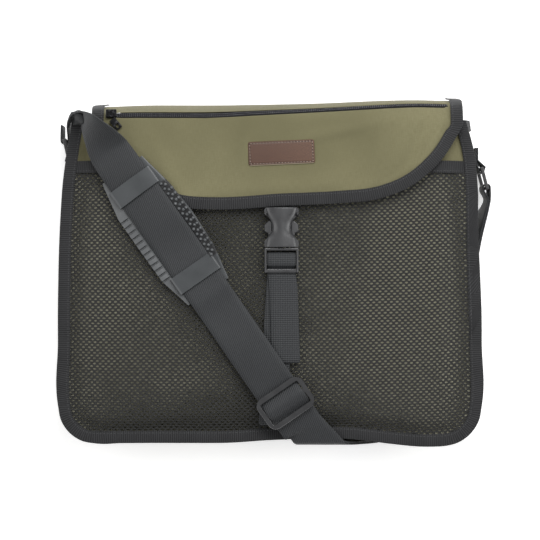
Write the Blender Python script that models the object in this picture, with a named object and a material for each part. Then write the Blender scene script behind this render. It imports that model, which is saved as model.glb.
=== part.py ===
"""Hunting game bag, lying on its back with the front up and the shoulder strap laid across it.

Metres, +Z up. +X runs across the bag, +Y runs towards its mouth, and +Z points out of its front.
The origin is on the underside of the back panel, at the middle of the bag, level with what it lies on.
"""

import math

import bmesh
import bpy
from mathutils import Vector

# Cloth, tape and webbing thicknesses, and the gap that touching layers keep
CANVAS = 0.0010
NET = 0.0010
TAPE = 0.0010
WEBBING = 0.0014
GAP = 0.0003
LAYER = WEBBING + GAP

# The sewing pattern: a rounded rectangle, open at the mouth
HALF_WIDTH = 0.1885
BOTTOM = -0.1550
MOUTH = 0.1330
CORNER = 0.0340
TAPE_WIDTH = 0.0110
CUT_INSET = 0.0030
FREE = 0.0118

# Heights of the two seams, and the rise of the front and of the net above the front seam
BACK_SEAM = 0.0026
FRONT_SEAM = 0.0500
BACK_ROOM = 0.00145
FRONT_ROOM = 0.0021
FRONT_RISE = 0.0100
POCKET_AT_HEM = 0.0060
POCKET_MORE = 0.0050
NET_TOP = 0.0970

# The flap
FLAP_MIDDLE = 0.0065
FLAP_REACH = 0.1645
FLAP_CORNER_Y = 0.1300
FLAP_LIFT = 0.0046
FLAP_ROOM = 0.0013
LEFT_DROP = 0.0065
FLAP_BACK_Z = 0.0018
FLAP_BACK_REACH = 0.1380
FLAP_SEAM = 0.0130
ZIP_SLOT = 0.0062
SLIT_LEFT_REACH = 0.1480
SLIT_RIGHT_REACH = 0.1525

# Webbing widths and plastic fittings
STRAP_WIDTH = 0.0380
CLOSURE_WIDTH = 0.0250
CLOSURE_X = 0.0101
CLOSURE_LINE = 0.0085
TAIL_END = -0.0822
TAB_WIDTH = 0.0340
BAR = 0.0030

# How far the two sides draw in as the bag lies, as a share of the pattern's half width
DRAW_IN = (
    {"y": -0.155, "left": 1.000, "right": 1.000},
    {"y": -0.040, "left": 1.002, "right": 1.000},
    {"y": 0.000, "left": 0.999, "right": 0.988},
    {"y": 0.035, "left": 0.994, "right": 0.984},
    {"y": 0.075, "left": 0.980, "right": 0.981},
    {"y": 0.097, "left": 0.967, "right": 0.971},
    {"y": 0.112, "left": 0.952, "right": 0.958},
    {"y": 0.133, "left": 0.934, "right": 0.925},
)

# How far the bottom seam is pulled up out of a straight line by the strap that wraps it
BOTTOM_PULL = (
    {"x": -0.190, "up": 0.0000},
    {"x": -0.120, "up": 0.0010},
    {"x": -0.040, "up": 0.0010},
    {"x": 0.010, "up": 0.0042},
    {"x": 0.050, "up": 0.0052},
    {"x": 0.085, "up": 0.0040},
    {"x": 0.115, "up": -0.0010},
    {"x": 0.140, "up": -0.0026},
    {"x": 0.190, "up": 0.0000},
)
WRAP_SHIFT = 0.0400

# The right edge of the back, where the strap turns up out from under it
EDGE_OVER_STRAP = (
    {"y": -0.110, "push": 0.000, "lift": 0.0046},
    {"y": -0.060, "push": 0.003, "lift": 0.0060},
    {"y": -0.035, "push": 0.007, "lift": 0.0115},
    {"y": -0.010, "push": 0.013, "lift": 0.0178},
    {"y": 0.012, "push": 0.021, "lift": 0.0200},
    {"y": 0.035, "push": 0.019, "lift": 0.0130},
    {"y": 0.060, "push": 0.010, "lift": 0.0030},
    {"y": 0.090, "push": 0.003, "lift": 0.0000},
    {"y": 0.120, "push": 0.000, "lift": 0.0000},
)
EDGE_FROM = 0.1150
WEB_SHARES = (0.84, 0.50, 0.16)

# Rows and columns that every sewn piece shares
SIDE_ROWS = 9
COLUMN_SHARES = (-1.0, -0.952, -0.86, -0.70, -0.48, -0.24, 0.0, 0.24, 0.48, 0.70, 0.86, 0.952, 1.0)
STRAIGHT_ROWS = 3

# The left edge of the back, pushed in behind the left ring
EDGE_AT_RING = (
    {"y": 0.070, "push": 0.000},
    {"y": 0.092, "push": 0.007},
    {"y": 0.133, "push": 0.007},
)

# The flap's lower outline: how far the edge has come down at each reach from the flap's middle
FLAP_EDGE = (
    {"reach": 0.0000, "down": 0.0738},
    {"reach": 0.0250, "down": 0.0728},
    {"reach": 0.0550, "down": 0.0712},
    {"reach": 0.0900, "down": 0.0672},
    {"reach": 0.1180, "down": 0.0560},
    {"reach": 0.1340, "down": 0.0440},
    {"reach": 0.1480, "down": 0.0290},
    {"reach": 0.1525, "down": 0.0225},
    {"reach": 0.1580, "down": 0.0130},
    {"reach": 0.1645, "down": 0.0000},
)

# The top of the fold over the mouth, and the zip's place round it as an angle down from the front
FOLD = (
    {"x": -0.160, "top": 0.1460, "zip": 17.0},
    {"x": -0.104, "top": 0.1480, "zip": 15.0},
    {"x": -0.053, "top": 0.1475, "zip": 14.0},
    {"x": -0.013, "top": 0.1483, "zip": 22.0},
    {"x": 0.045, "top": 0.1493, "zip": 32.0},
    {"x": 0.100, "top": 0.1523, "zip": 39.0},
    {"x": 0.130, "top": 0.1529, "zip": 44.0},
    {"x": 0.175, "top": 0.1520, "zip": 44.0},
)
FOLD_STEPS = (62.0, 85.0, 108.0, 131.0, 155.0, 180.0)

# Bulge of the gusset out of the line between its two seams
GUSSET_BULGE = (
    {"y": -0.155, "left": 0.0060, "right": 0.0060},
    {"y": 0.050, "left": 0.0060, "right": 0.0070},
    {"y": 0.095, "left": 0.0060, "right": 0.0135},
    {"y": 0.133, "left": 0.0060, "right": 0.0165},
)

# The strap's middle line from the left ring over the top and down the front; where z is 0 it lies on the bag.
# lean is how far its right edge stands up.
FRONT_RUN = (
    {"x": -0.1600, "y": 0.1290, "lean": 62.0},
    {"x": -0.1530, "y": 0.1200, "lean": 48.0},
    {"x": -0.1445, "y": 0.1080, "lean": 20.0},
    {"x": -0.1320, "y": 0.0905, "lean": 0.0},
    {"x": -0.1180, "y": 0.0708, "lean": 0.0},
    {"x": -0.0915, "y": 0.0343, "lean": 0.0},
    {"x": -0.0640, "y": -0.0050, "lean": 0.0},
    {"x": -0.0350, "y": -0.0470, "lean": 0.0},
    {"x": -0.0070, "y": -0.0875, "lean": 0.0},
    {"x": 0.0136, "y": -0.1172, "lean": 0.0},
    {"x": 0.0292, "y": -0.1400, "lean": 0.0},
)

# Its line over the bottom edge, under the back and up beside the bag to the right ring, on its outer face
HIDDEN_RUN = (
    {"x": 0.0395, "y": -0.1478, "z": 0.0575, "lean": 0.0},
    {"x": 0.0430, "y": -0.1528, "z": 0.0556, "lean": 0.0},
    {"x": 0.0470, "y": -0.1552, "z": 0.0500, "lean": 0.0},
    {"x": 0.0620, "y": -0.1558, "z": 0.0300, "lean": 0.0},
    {"x": 0.0760, "y": -0.1560, "z": 0.0100, "lean": 0.0},
    {"x": 0.0795, "y": -0.1545, "z": 0.0040, "lean": 0.0},
    {"x": 0.0835, "y": -0.1500, "z": 0.0012, "lean": 0.0},
    {"x": 0.0890, "y": -0.1420, "z": 0.0008, "lean": 0.0},
    {"x": 0.1110, "y": -0.1070, "z": 0.0008, "lean": 0.0},
    {"x": 0.1330, "y": -0.0720, "z": 0.0008, "lean": 0.0},
    {"x": 0.1490, "y": -0.0430, "z": 0.0019, "lean": 3.0},
    {"x": 0.1610, "y": -0.0160, "z": 0.0064, "lean": 15.0},
    {"x": 0.1720, "y": 0.0100, "z": 0.0162, "lean": 45.0},
    {"x": 0.1835, "y": 0.0340, "z": 0.0190, "lean": 68.0},
    {"x": 0.1930, "y": 0.0520, "z": 0.0215, "lean": 84.0},
    {"x": 0.1972, "y": 0.0640, "z": 0.0228, "lean": 90.0},
)

# The rings: where their two upright bars stand
LEFT_RING = {"tab_x": -0.1800, "tab_y": 0.0995, "strap_x": -0.1836, "strap_y": 0.1160, "z": 0.0232}
RIGHT_RING = {"tab_x": 0.1893, "tab_y": 0.0905, "strap_x": 0.1938, "strap_y": 0.0735, "z": 0.0232}
RING_WINDOW = 0.0203
RING_END = 0.0026

# The shoulder pad: half widths and thickness along its length
PAD_LENGTH = 0.1315
PAD_BASE = 0.0022
PAD_OUTLINE = (
    {"along": 0.0000, "left": 0.0215, "right": 0.0215},
    {"along": 0.0120, "left": 0.0240, "right": 0.0235},
    {"along": 0.0340, "left": 0.0285, "right": 0.0275},
    {"along": 0.0660, "left": 0.0290, "right": 0.0290},
    {"along": 0.1010, "left": 0.0285, "right": 0.0275},
    {"along": 0.1200, "left": 0.0240, "right": 0.0235},
    {"along": 0.1315, "left": 0.0215, "right": 0.0215},
)
RIB_COUNT = 13
RIB_FROM = 0.0335
RIB_PITCH = 0.0058
RIB_WIDTH = 0.0036
RIB_DEPTH = 0.0012
BRIDGES = ({"along": 0.0190}, {"along": 0.1120})
BRIDGE_LENGTH = 0.0165
BRIDGE_WALL = 0.0018

KHAKI = (0.220, 0.205, 0.115)
DARK_GREY = (0.045, 0.046, 0.046)
STRAP_GREY = (0.062, 0.064, 0.068)
RUBBER_GREY = (0.085, 0.092, 0.100)
PLASTIC = (0.075, 0.075, 0.078)
BLACK = (0.020, 0.020, 0.020)
LEATHER = (0.160, 0.085, 0.062)


def between(rows, key, at, column):
    """Read a column of a table at a place, on straight lines between its rows."""
    if at <= rows[0][key]:
        return rows[0][column]
    for low, high in zip(rows, rows[1:]):
        if at <= high[key]:
            share = (at - low[key]) / (high[key] - low[key])
            return low[column] + share * (high[column] - low[column])
    return rows[-1][column]


def ease(value):
    """A smooth step from 0 to 1."""
    value = min(1.0, max(0.0, value))
    return value * value * (3.0 - 2.0 * value)


def remove_old_objects():
    for item in list(bpy.data.objects):
        bpy.data.objects.remove(item, do_unlink=True)


def finish(name, mesh, colour, roughness, metallic=0.0, smooth=True):
    """Give a closed mesh its outward faces, material and object."""
    shape = bmesh.new()
    shape.from_mesh(mesh)
    bmesh.ops.triangulate(shape, faces=shape.faces)
    bmesh.ops.recalc_face_normals(shape, faces=shape.faces)
    shape.to_mesh(mesh)
    shape.free()
    material = bpy.data.materials.new(name)
    material.use_nodes = True
    surface = material.node_tree.nodes["Principled BSDF"]
    surface.inputs["Base Color"].default_value = (*colour, 1.0)
    surface.inputs["Roughness"].default_value = roughness
    surface.inputs["Metallic"].default_value = metallic
    mesh.materials.append(material)
    if smooth:
        mesh.shade_smooth()
        mesh.set_sharp_from_angle(angle=math.radians(40))
    piece = bpy.data.objects.new(name, mesh)
    bpy.context.collection.objects.link(piece)
    return piece


def loft_mesh(name, sections):
    """Join closed sections of the same number of points into one capped body."""
    count = len(sections[0])
    points = [point for section in sections for point in section]
    faces = []
    for row in range(len(sections) - 1):
        for place in range(count):
            following = (place + 1) % count
            low = row * count
            high = low + count
            faces.append((low + place, low + following, high + following, high + place))
    faces.append(tuple(reversed(range(count))))
    faces.append(tuple((len(sections) - 1) * count + place for place in range(count)))
    mesh = bpy.data.meshes.new(name)
    mesh.from_pydata([tuple(point) for point in points], [], faces)
    return mesh


def sheet_mesh(name, outer, inner, keep=None):
    """Close two grids of points, an outer and an inner face, into one wall, leaving out some cells."""
    rows = len(outer)
    columns = len(outer[0])
    points = [tuple(p) for row in outer for p in row] + [tuple(p) for row in inner for p in row]
    under = rows * columns

    def kept(row, column):
        inside = 0 <= row < rows - 1 and 0 <= column < columns - 1
        return inside and (keep is None or keep(row, column))

    faces = []
    for row in range(rows - 1):
        for column in range(columns - 1):
            if not kept(row, column):
                continue
            a = row * columns + column
            b = a + 1
            c = b + columns
            d = a + columns
            faces.append((a, b, c, d))
            faces.append((under + d, under + c, under + b, under + a))
            edges = (
                (a, b, row - 1, column),
                (b, c, row, column + 1),
                (c, d, row + 1, column),
                (d, a, row, column - 1),
            )
            for start, end, next_row, next_column in edges:
                if not kept(next_row, next_column):
                    faces.append((end, start, under + start, under + end))
    mesh = bpy.data.meshes.new(name)
    mesh.from_pydata(points, [], faces)
    shape = bmesh.new()
    shape.from_mesh(mesh)
    loose = [vert for vert in shape.verts if not vert.link_faces]
    bmesh.ops.delete(shape, geom=loose, context="VERTS")
    shape.to_mesh(mesh)
    shape.free()
    return mesh


def smooth_line(points, steps):
    """A smooth line through points, with a number of steps between each two."""
    line = []
    for index in range(len(points) - 1):
        before = points[max(0, index - 1)]
        start = points[index]
        end = points[index + 1]
        after = points[min(len(points) - 1, index + 2)]
        for step in range(steps):
            t = step / steps
            line.append(
                0.5 * (2 * start + (end - before) * t
                       + (2 * before - 5 * start + 4 * end - after) * t * t
                       + (3 * start - before - 3 * end + after) * t ** 3)
            )
    line.append(points[-1].copy())
    return line


# Where the sewing pattern lies once the bag is on its back


def pull_up(x):
    return between(BOTTOM_PULL, "x", x, "up")


def settle(x, y, level):
    """Move a point of the pattern to where it lies; level is 0 at the back and 1 at the front."""
    side = "right" if x > 0 else "left"
    lying_x = x * between(DRAW_IN, "y", y, side)
    edge = ease((x - EDGE_FROM) / (HALF_WIDTH - EDGE_FROM))
    left_edge = ease((-x - EDGE_FROM) / (HALF_WIDTH - EDGE_FROM))
    lying_x -= (1.0 - level) * edge * between(EDGE_OVER_STRAP, "y", y, "push")
    lying_x += (1.0 - level) * left_edge * between(EDGE_AT_RING, "y", y, "push")
    near_bottom = ease((BOTTOM + 0.06 - y) / 0.06)
    pull = level * pull_up(x) + (1.0 - level) * pull_up(x - WRAP_SHIFT)
    return lying_x, y + near_bottom * pull


def inside(x, y):
    """Distance of a point of the pattern in from its outline, which has no edge at the mouth."""
    across = HALF_WIDTH - abs(x)
    up = y - BOTTOM
    if across < CORNER and up < CORNER:
        return CORNER - math.hypot(CORNER - across, CORNER - up)
    return min(across, up)


def unsettle(x, y):
    """The point of the pattern that lies at a place on the front."""
    side = "right" if x > 0 else "left"
    pattern_x = x / between(DRAW_IN, "y", y, side)
    near_bottom = ease((BOTTOM + 0.06 - y) / 0.06)
    return pattern_x, y - near_bottom * pull_up(pattern_x)


def under_lift(x, y, pattern_x):
    """How far the back is lifted off the ground by the strap that runs under it."""
    start = Vector((0.0780, -0.1620))
    end = Vector((0.1490, -0.0430))
    run = (end - start).normalized()
    offset = Vector((x, y)) - start
    along = offset.dot(run)
    aside = abs(offset.x * run.y - offset.y * run.x)
    length = (end - start).length
    beyond = max(0.0, along - length - 0.012, -along)
    lift = 0.0058 * ease((0.120 - max(aside, 0.5 * aside + beyond)) / 0.038)
    edge = ease((pattern_x - EDGE_FROM) / (HALF_WIDTH - EDGE_FROM))
    right = between(EDGE_OVER_STRAP, "y", y, "lift")
    if y < EDGE_OVER_STRAP[0]["y"]:
        right = 0.0
    return max(lift, edge * right)


def front_top(x, y):
    """Upper face of the front panel, for a point of the pattern."""
    rise = FRONT_RISE * (1.0 - math.exp(-max(0.0, inside(x, y) - FREE) / 0.030))
    return FRONT_SEAM + GAP / 2 + CANVAS / 2 + rise - 0.00015


def net_top(x, y):
    """Upper face of the net, for a point of the pattern."""
    depth = inside(x, y) - FREE
    low = ease((NET_TOP - y) / 0.13) * ease((y - BOTTOM) / 0.09)
    stand = (POCKET_AT_HEM + POCKET_MORE * low) * (1.0 - math.exp(-max(0.0, depth) / 0.016))
    return front_top(x, y) + GAP + NET + stand


def hem_or_net(x, y):
    top = net_top(x, min(y, NET_TOP))
    if y > NET_TOP:
        top = front_top(x, y) + net_top(x, NET_TOP) - front_top(x, NET_TOP)
    return top


def flap_edge_y(x):
    """The flap's outline below a place across the bag."""
    reach = abs(x - FLAP_MIDDLE)
    edge = FLAP_CORNER_Y - between(FLAP_EDGE, "reach", reach, "down")
    if x < FLAP_MIDDLE:
        edge -= LEFT_DROP * math.sin(math.pi * min(reach, FLAP_REACH) / FLAP_REACH)
    return edge


def flap_under(x, y):
    """Lower face of the flap at a place on the front, above the net and its hem."""
    pattern_x, pattern_y = unsettle(x, min(y, MOUTH))
    limit = HALF_WIDTH - FREE - 0.010
    pattern_x = min(limit, max(-limit, pattern_x))
    return hem_or_net(pattern_x, pattern_y) + FLAP_LIFT


def fold_point(x, angle, depth):
    """A point of the flap's fold over the mouth; depth is how far in it is from the outer face."""
    high = flap_under(x, MOUTH) + CANVAS
    low = FLAP_BACK_Z - CANVAS / 2
    middle = (high + low) / 2
    turn = math.radians(angle)
    forward = between(FOLD, "x", x, "top") - MOUTH - depth
    upward = (high - low) / 2 - depth
    return Vector((x, MOUTH + forward * math.sin(turn), middle + upward * math.cos(turn)))


def slit_angle(x, way):
    """The fold's angle at one edge of the slit for the zip."""
    angle = between(FOLD, "x", x, "zip")
    here = fold_point(x, angle, 0.0)
    nearby = fold_point(x, angle + 1.0, 0.0)
    return angle + way * (ZIP_SLOT / 2) / (nearby - here).length


def cover(x, y):
    """The highest thing that lies at a place on the front, under the shoulder strap."""
    pattern_x, pattern_y = unsettle(x, min(y, MOUTH))
    if abs(pattern_x) > HALF_WIDTH:
        pattern_x = math.copysign(HALF_WIDTH, pattern_x)
    top = max(hem_or_net(pattern_x, pattern_y), FRONT_SEAM + FRONT_ROOM + TAPE)
    if NET_TOP - 0.014 < y < NET_TOP + 0.004:
        top += TAPE + GAP
    if abs(x - FLAP_MIDDLE) < FLAP_REACH + 0.002 and y > flap_edge_y(x) - 0.003:
        top = flap_under(x, y) + CANVAS / 2 + FLAP_ROOM + TAPE
    elif abs(x - CLOSURE_LINE) < CLOSURE_WIDTH / 2 + 0.008 and y < 0.0:
        top = net_rest(CLOSURE_LINE, y) + WEBBING + GAP
        if y > TAIL_END - 0.003:
            top += LAYER + GAP
    return top


# Body of the bag


def side_places():
    """Heights up the sides, from the corner to the mouth, that every piece sewn there shares."""
    start = BOTTOM + CORNER
    return [start + (MOUTH - start) * step / SIDE_ROWS for step in range(SIDE_ROWS + 1)]


def outline_rows(inset):
    """Pattern rows from the bottom seam to the mouth: how high each is, and its half width."""
    radius = CORNER - inset
    rows = []
    for step in range(5):
        turn = math.radians(90.0 - 22.5 * step)
        y = BOTTOM + CORNER - radius * math.sin(turn)
        half = HALF_WIDTH - CORNER + radius * math.cos(turn)
        rows.append((y, half))
    return rows


def panel(name, inset, top_edge, level, heights, wall, colour, roughness):
    """A panel of cloth inside the outline; heights gives its upper face."""
    rows = outline_rows(inset)
    rows.extend((y, HALF_WIDTH - inset) for y in side_places()[1:] if y < top_edge - 0.001)
    rows.append((top_edge, HALF_WIDTH - inset))
    outer = []
    inner = []
    for row, (y, half) in enumerate(rows):
        upper = []
        lower = []
        for share in COLUMN_SHARES:
            x = half * share
            if row < STRAIGHT_ROWS and abs(share) < 1.0:
                x = (HALF_WIDTH - CORNER) * share
            lying_x, lying_y = settle(x, y, level)
            top = heights(x, y, lying_x, lying_y)
            upper.append(Vector((lying_x, lying_y, top)))
            lower.append(Vector((lying_x, lying_y, top - wall)))
        outer.append(upper)
        inner.append(lower)
    return finish(name, sheet_mesh(name, outer, inner), colour, roughness)


def back_height(x, y, lying_x, lying_y):
    """Upper face of the back panel: flat on the ground, and up into its binding at the edges."""
    edge = 1.0 - ease((inside(x, y) - FREE) / 0.012)
    return CANVAS + edge * (BACK_SEAM - GAP / 2 - CANVAS) + under_lift(lying_x, lying_y, x)


def make_panels():
    panel("back_panel", CUT_INSET, MOUTH - 0.0005, 0.0, back_height, CANVAS, KHAKI, 0.85)
    panel("front_panel", CUT_INSET, MOUTH, 1.0, lambda x, y, lx, ly: front_top(x, y), CANVAS, KHAKI, 0.85)
    panel("net_pocket", CUT_INSET, NET_TOP - CUT_INSET, 1.0,
          lambda x, y, lx, ly: net_top(x, y), NET, BLACK, 0.7)


def seam_line(level):
    """Places along the U of the outline with the direction in from the edge, left mouth to right mouth."""
    pattern = [(-HALF_WIDTH, y, 1.0, 0.0) for y in side_places()[:0:-1]]
    for step in range(5):
        turn = math.radians(22.5 * step)
        x = -HALF_WIDTH + CORNER - CORNER * math.cos(turn)
        y = BOTTOM + CORNER - CORNER * math.sin(turn)
        pattern.append((x, y, math.cos(turn), math.sin(turn)))
    left_count = len(pattern)
    pattern.extend(((HALF_WIDTH - CORNER) * share, BOTTOM, 0.0, 1.0) for share in COLUMN_SHARES[1:-1])
    right = [(-x, y, -in_x, in_y) for x, y, in_x, in_y in reversed(pattern[:left_count])]
    pattern.extend(right)
    return [(x, y, Vector((in_x, in_y))) for x, y, in_x, in_y in pattern]


def make_bindings():
    for name, level, height, room in (
        ("front_binding", 1.0, FRONT_SEAM, FRONT_ROOM),
        ("back_binding", 0.0, BACK_SEAM, BACK_ROOM),
    ):
        sections = []
        for x, y, inward in seam_line(level):
            section = []
            for u, w in channel_corners(TAPE_WIDTH, room, TAPE):
                pattern_x = x + inward.x * u
                lying_x, lying_y = settle(pattern_x, y + inward.y * u, level)
                lift = under_lift(lying_x, lying_y, pattern_x) if level == 0.0 else 0.0
                section.append(Vector((lying_x, lying_y, height + lift + w)))
            sections.append(section)
        finish(name, loft_mesh(name, sections), DARK_GREY, 0.8)


def channel_corners(wide, room, wall):
    return (
        (wide, room + wall), (0.0, room + wall), (0.0, -room - wall), (wide, -room - wall),
        (wide, -room), (wall, -room), (wall, room), (wide, room),
    )


def gusset_profile(bulge):
    """Middle line of the gusset's cloth: in from the outline, and height as a share from back to front."""
    line = [(CUT_INSET, 1.0, 0.0), (FREE + 0.0010, 1.0, 0.0), (FREE + 0.0010, 1.0, -0.0030)]
    for share in WEB_SHARES:
        line.append((FREE + 0.0010 - bulge * math.sin(math.pi * share) ** 0.7, share, 0.0))
    line.extend([(FREE + 0.0010, 0.0, 0.0030), (FREE + 0.0010, 0.0, 0.0), (CUT_INSET, 0.0, 0.0)])
    return line


def gusset_point(x, y, inward, u, share, extra):
    """A point of the gusset, from its place in from the outline and between the two seams."""
    back_x, back_y = settle(x + inward.x * u, y + inward.y * u, 0.0)
    front_x, front_y = settle(x + inward.x * u, y + inward.y * u, 1.0)
    low = BACK_SEAM + GAP / 2 + CANVAS / 2 + under_lift(back_x, back_y, x + inward.x * u)
    high = FRONT_SEAM - FRONT_ROOM + GAP + CANVAS / 2
    return Vector((back_x + (front_x - back_x) * share,
                   back_y + (front_y - back_y) * share,
                   low + (high - low) * share + extra))


def thick_section(line, wall):
    """Both sides of a line of points in one plane, as one closed section."""
    plane = (line[1] - line[0]).cross(line[3] - line[1])
    if plane.length < 1e-12:
        plane = Vector((0.0, 1.0, 0.0))
    plane.normalize()
    left = []
    right = []
    for index, point in enumerate(line):
        before = line[max(0, index - 1)]
        after = line[min(len(line) - 1, index + 1)]
        first = (point - before).normalized() if index > 0 else (after - point).normalized()
        second = (after - point).normalized() if index < len(line) - 1 else first
        normal = (plane.cross(first) + plane.cross(second)).normalized()
        spread = max(0.5, normal.dot(plane.cross(first)))
        left.append(point + normal * (wall / 2 / spread))
        right.append(point - normal * (wall / 2 / spread))
    return left + right[::-1]


def make_gusset():
    sections = []
    for x, y, inward in seam_line(0.5):
        side = "left" if x < 0 else "right"
        bulge = between(GUSSET_BULGE, "y", y, side)
        line = [gusset_point(x, y, inward, u, share, extra) for u, share, extra in gusset_profile(bulge)]
        sections.append(thick_section(line, CANVAS))
    finish("gusset", loft_mesh("gusset", sections), KHAKI, 0.85)


def web_at(sign, y, share):
    """A point of the gusset's middle surface on one side, on the lines between its sewn stations."""
    side = "left" if sign < 0 else "right"
    places = side_places()
    index = max(i for i in range(SIDE_ROWS) if places[i] <= y or i == 0)
    ends = []
    high = 0 if share > WEB_SHARES[1] else 1
    upper = WEB_SHARES[high]
    lower = WEB_SHARES[high + 1]
    for at in places[index:index + 2]:
        bulge = between(GUSSET_BULGE, "y", at, side)
        outs = [bulge * math.sin(math.pi * end) ** 0.7 for end in (upper, lower)]
        across = FREE + 0.0010 - outs[1] - (outs[0] - outs[1]) * (share - lower) / (upper - lower)
        ends.append(gusset_point(sign * HALF_WIDTH, at, Vector((-sign, 0.0)), across, share, 0.0))
    weight = (min(y, MOUTH) - places[index]) / (places[index + 1] - places[index])
    return ends[0].lerp(ends[1], weight)


def make_gusset_hems():
    """Tape folded over the gusset's two upper ends."""
    for name, sign in (("gusset_hem_left", -1.0), ("gusset_hem_right", 1.0)):
        outward = Vector((sign, 0.0, 0.0))
        sections = []
        for share in (0.78, 0.50, 0.22):
            section = []
            for u, w in channel_corners(0.0095, CANVAS / 2 + GAP, TAPE):
                y = MOUTH + GAP + TAPE - u
                place = web_at(sign, y, share)
                section.append(Vector((place.x, y, place.z)) + outward * (w * 1.15))
            sections.append(section)
        finish(name, loft_mesh(name, sections), DARK_GREY, 0.8)


def make_pocket_hem():
    """Tape folded over the net's upper edge, between the two side bindings."""
    sections = []
    edge = HALF_WIDTH - CUT_INSET
    half = HALF_WIDTH - FREE - 0.0055

    def net_on_columns(x, y):
        for low, high in zip(COLUMN_SHARES, COLUMN_SHARES[1:]):
            if x <= high * edge:
                share = (x - low * edge) / ((high - low) * edge)
                return net_top(low * edge, y) * (1.0 - share) + net_top(high * edge, y) * share
        return net_top(x, y)

    columns = [share * edge for share in COLUMN_SHARES if abs(share * edge) < half - 0.002]
    for place in (-half, *columns, half):
        x = place
        section = []
        for u, w in channel_corners(TAPE_WIDTH, NET / 2 + GAP, TAPE):
            y = NET_TOP - u
            lying_x, lying_y = settle(x, y, 1.0)
            section.append(Vector((lying_x, lying_y, net_on_columns(x, y) - NET / 2 + w)))
        sections.append(section)
    finish("pocket_hem", loft_mesh("pocket_hem", sections), DARK_GREY, 0.8)


# The flap over the mouth


def flap_outline():
    """Points of the flap's lower edge from left to right, each with the direction in from the edge."""
    reaches = [row["reach"] for row in FLAP_EDGE]
    places = [-reach for reach in reversed(reaches[1:])] + reaches
    points = [Vector((FLAP_MIDDLE + reach, flap_edge_y(FLAP_MIDDLE + reach))) for reach in places]
    outline = []
    for index, point in enumerate(points):
        before = points[max(0, index - 1)]
        after = points[min(len(points) - 1, index + 1)]
        run = (after - before).normalized()
        inward = Vector((-run.y, run.x))
        if index == 0:
            inward = Vector((1.0, 0.0))
        if index == len(points) - 1:
            inward = Vector((-1.0, 0.0))
        outline.append((point, inward))
    return outline


def in_slit(x):
    left = FLAP_MIDDLE - SLIT_LEFT_REACH - 0.001
    right = FLAP_MIDDLE + SLIT_RIGHT_REACH + 0.001
    return left < x < right


def make_flap():
    columns = [point + inward * CUT_INSET for point, inward in flap_outline()]
    front_rows = 5
    outer = []
    inner = []
    for row in range(front_rows):
        upper = []
        lower = []
        for column in columns:
            y = column.y + (MOUTH - column.y) * row / front_rows
            under = flap_under(column.x, y)
            upper.append(Vector((column.x, y, under + CANVAS)))
            lower.append(Vector((column.x, y, under)))
        outer.append(upper)
        inner.append(lower)
    for turn in (0.0, "before", "after", *FOLD_STEPS):
        upper = []
        lower = []
        for column in columns:
            angle = turn
            if turn in ("before", "after"):
                angle = slit_angle(column.x, -1.0 if turn == "before" else 1.0)
            narrow = 1.0 - (1.0 - FLAP_BACK_REACH / FLAP_REACH) * ease((angle - 60.0) / 110.0)
            x = FLAP_MIDDLE + (column.x - FLAP_MIDDLE) * narrow
            upper.append(fold_point(x, angle, 0.0))
            lower.append(fold_point(x, angle, CANVAS))
        outer.append(upper)
        inner.append(lower)
    back_outer = outer[-1]
    back_inner = inner[-1]
    for step in (1, 2):
        back = Vector((0.0, -FLAP_SEAM * step / 2, 0.0))
        outer.append([point + back for point in back_outer])
        inner.append([point + back for point in back_inner])

    def keep(row, column):
        cut = in_slit(columns[column].x) and in_slit(columns[column + 1].x)
        return not (row == front_rows + 1 and cut)

    finish("flap", sheet_mesh("flap", outer, inner, keep), KHAKI, 0.85)


def make_flap_binding():
    room = FLAP_ROOM
    outline = flap_outline()
    sections = []
    for side, (point, inward) in ((-1, outline[0]), (1, outline[-1])):
        rising = []
        edge_x = (point + inward * CUT_INSET).x
        turns = (FOLD_STEPS[1], FOLD_STEPS[0], slit_angle(edge_x, 1.0), slit_angle(edge_x, -1.0), 0.0)
        for angle in turns:
            section = []
            for u, w in channel_corners(TAPE_WIDTH, room, TAPE):
                narrow = 1.0 - (1.0 - FLAP_BACK_REACH / FLAP_REACH) * ease((angle - 60.0) / 110.0)
                x = FLAP_MIDDLE + (point.x - FLAP_MIDDLE) * narrow + inward.x * u
                section.append(fold_point(x, angle, CANVAS / 2 - w))
            rising.append(section)
        if side < 0:
            sections = rising
        else:
            right_side = rising[::-1]
    for point, inward in outline:
        section = []
        for u, w in channel_corners(TAPE_WIDTH, room, TAPE):
            place = point + inward * u
            section.append(Vector((place.x, place.y, flap_under(place.x, place.y) + CANVAS / 2 + w)))
        sections.append(section)
    sections.extend(right_side)
    finish("flap_binding", loft_mesh("flap_binding", sections), DARK_GREY, 0.8)


def zip_frame(x):
    """Middle of the slit at a place across, the direction across it and the direction out of it."""
    before = fold_point(x, slit_angle(x, -1.0), 0.0)
    after = fold_point(x, slit_angle(x, 1.0), 0.0)
    across = (after - before).normalized()
    outward = Vector((1.0, 0.0, 0.0)).cross(across)
    return (before + after) / 2, across, outward


def make_zip():
    tape = 0.0040
    coil = 0.0024
    corners = (
        (-tape, -0.0030), (tape, -0.0030), (tape, -0.0022), (coil, -0.0022),
        (coil, 0.0001), (-coil, 0.0001), (-coil, -0.0022), (-tape, -0.0022),
    )
    columns = [(point + inward * CUT_INSET).x for point, inward in flap_outline()]
    places = [x for x in columns if in_slit(x)]
    places[0] += 0.0006
    places[-1] -= 0.0006
    sections = []
    for x in places:
        middle, across, outward = zip_frame(x)
        sections.append([middle + across * u + outward * w for u, w in corners])
    finish("flap_zip", loft_mesh("flap_zip", sections), BLACK, 0.6)


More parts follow.
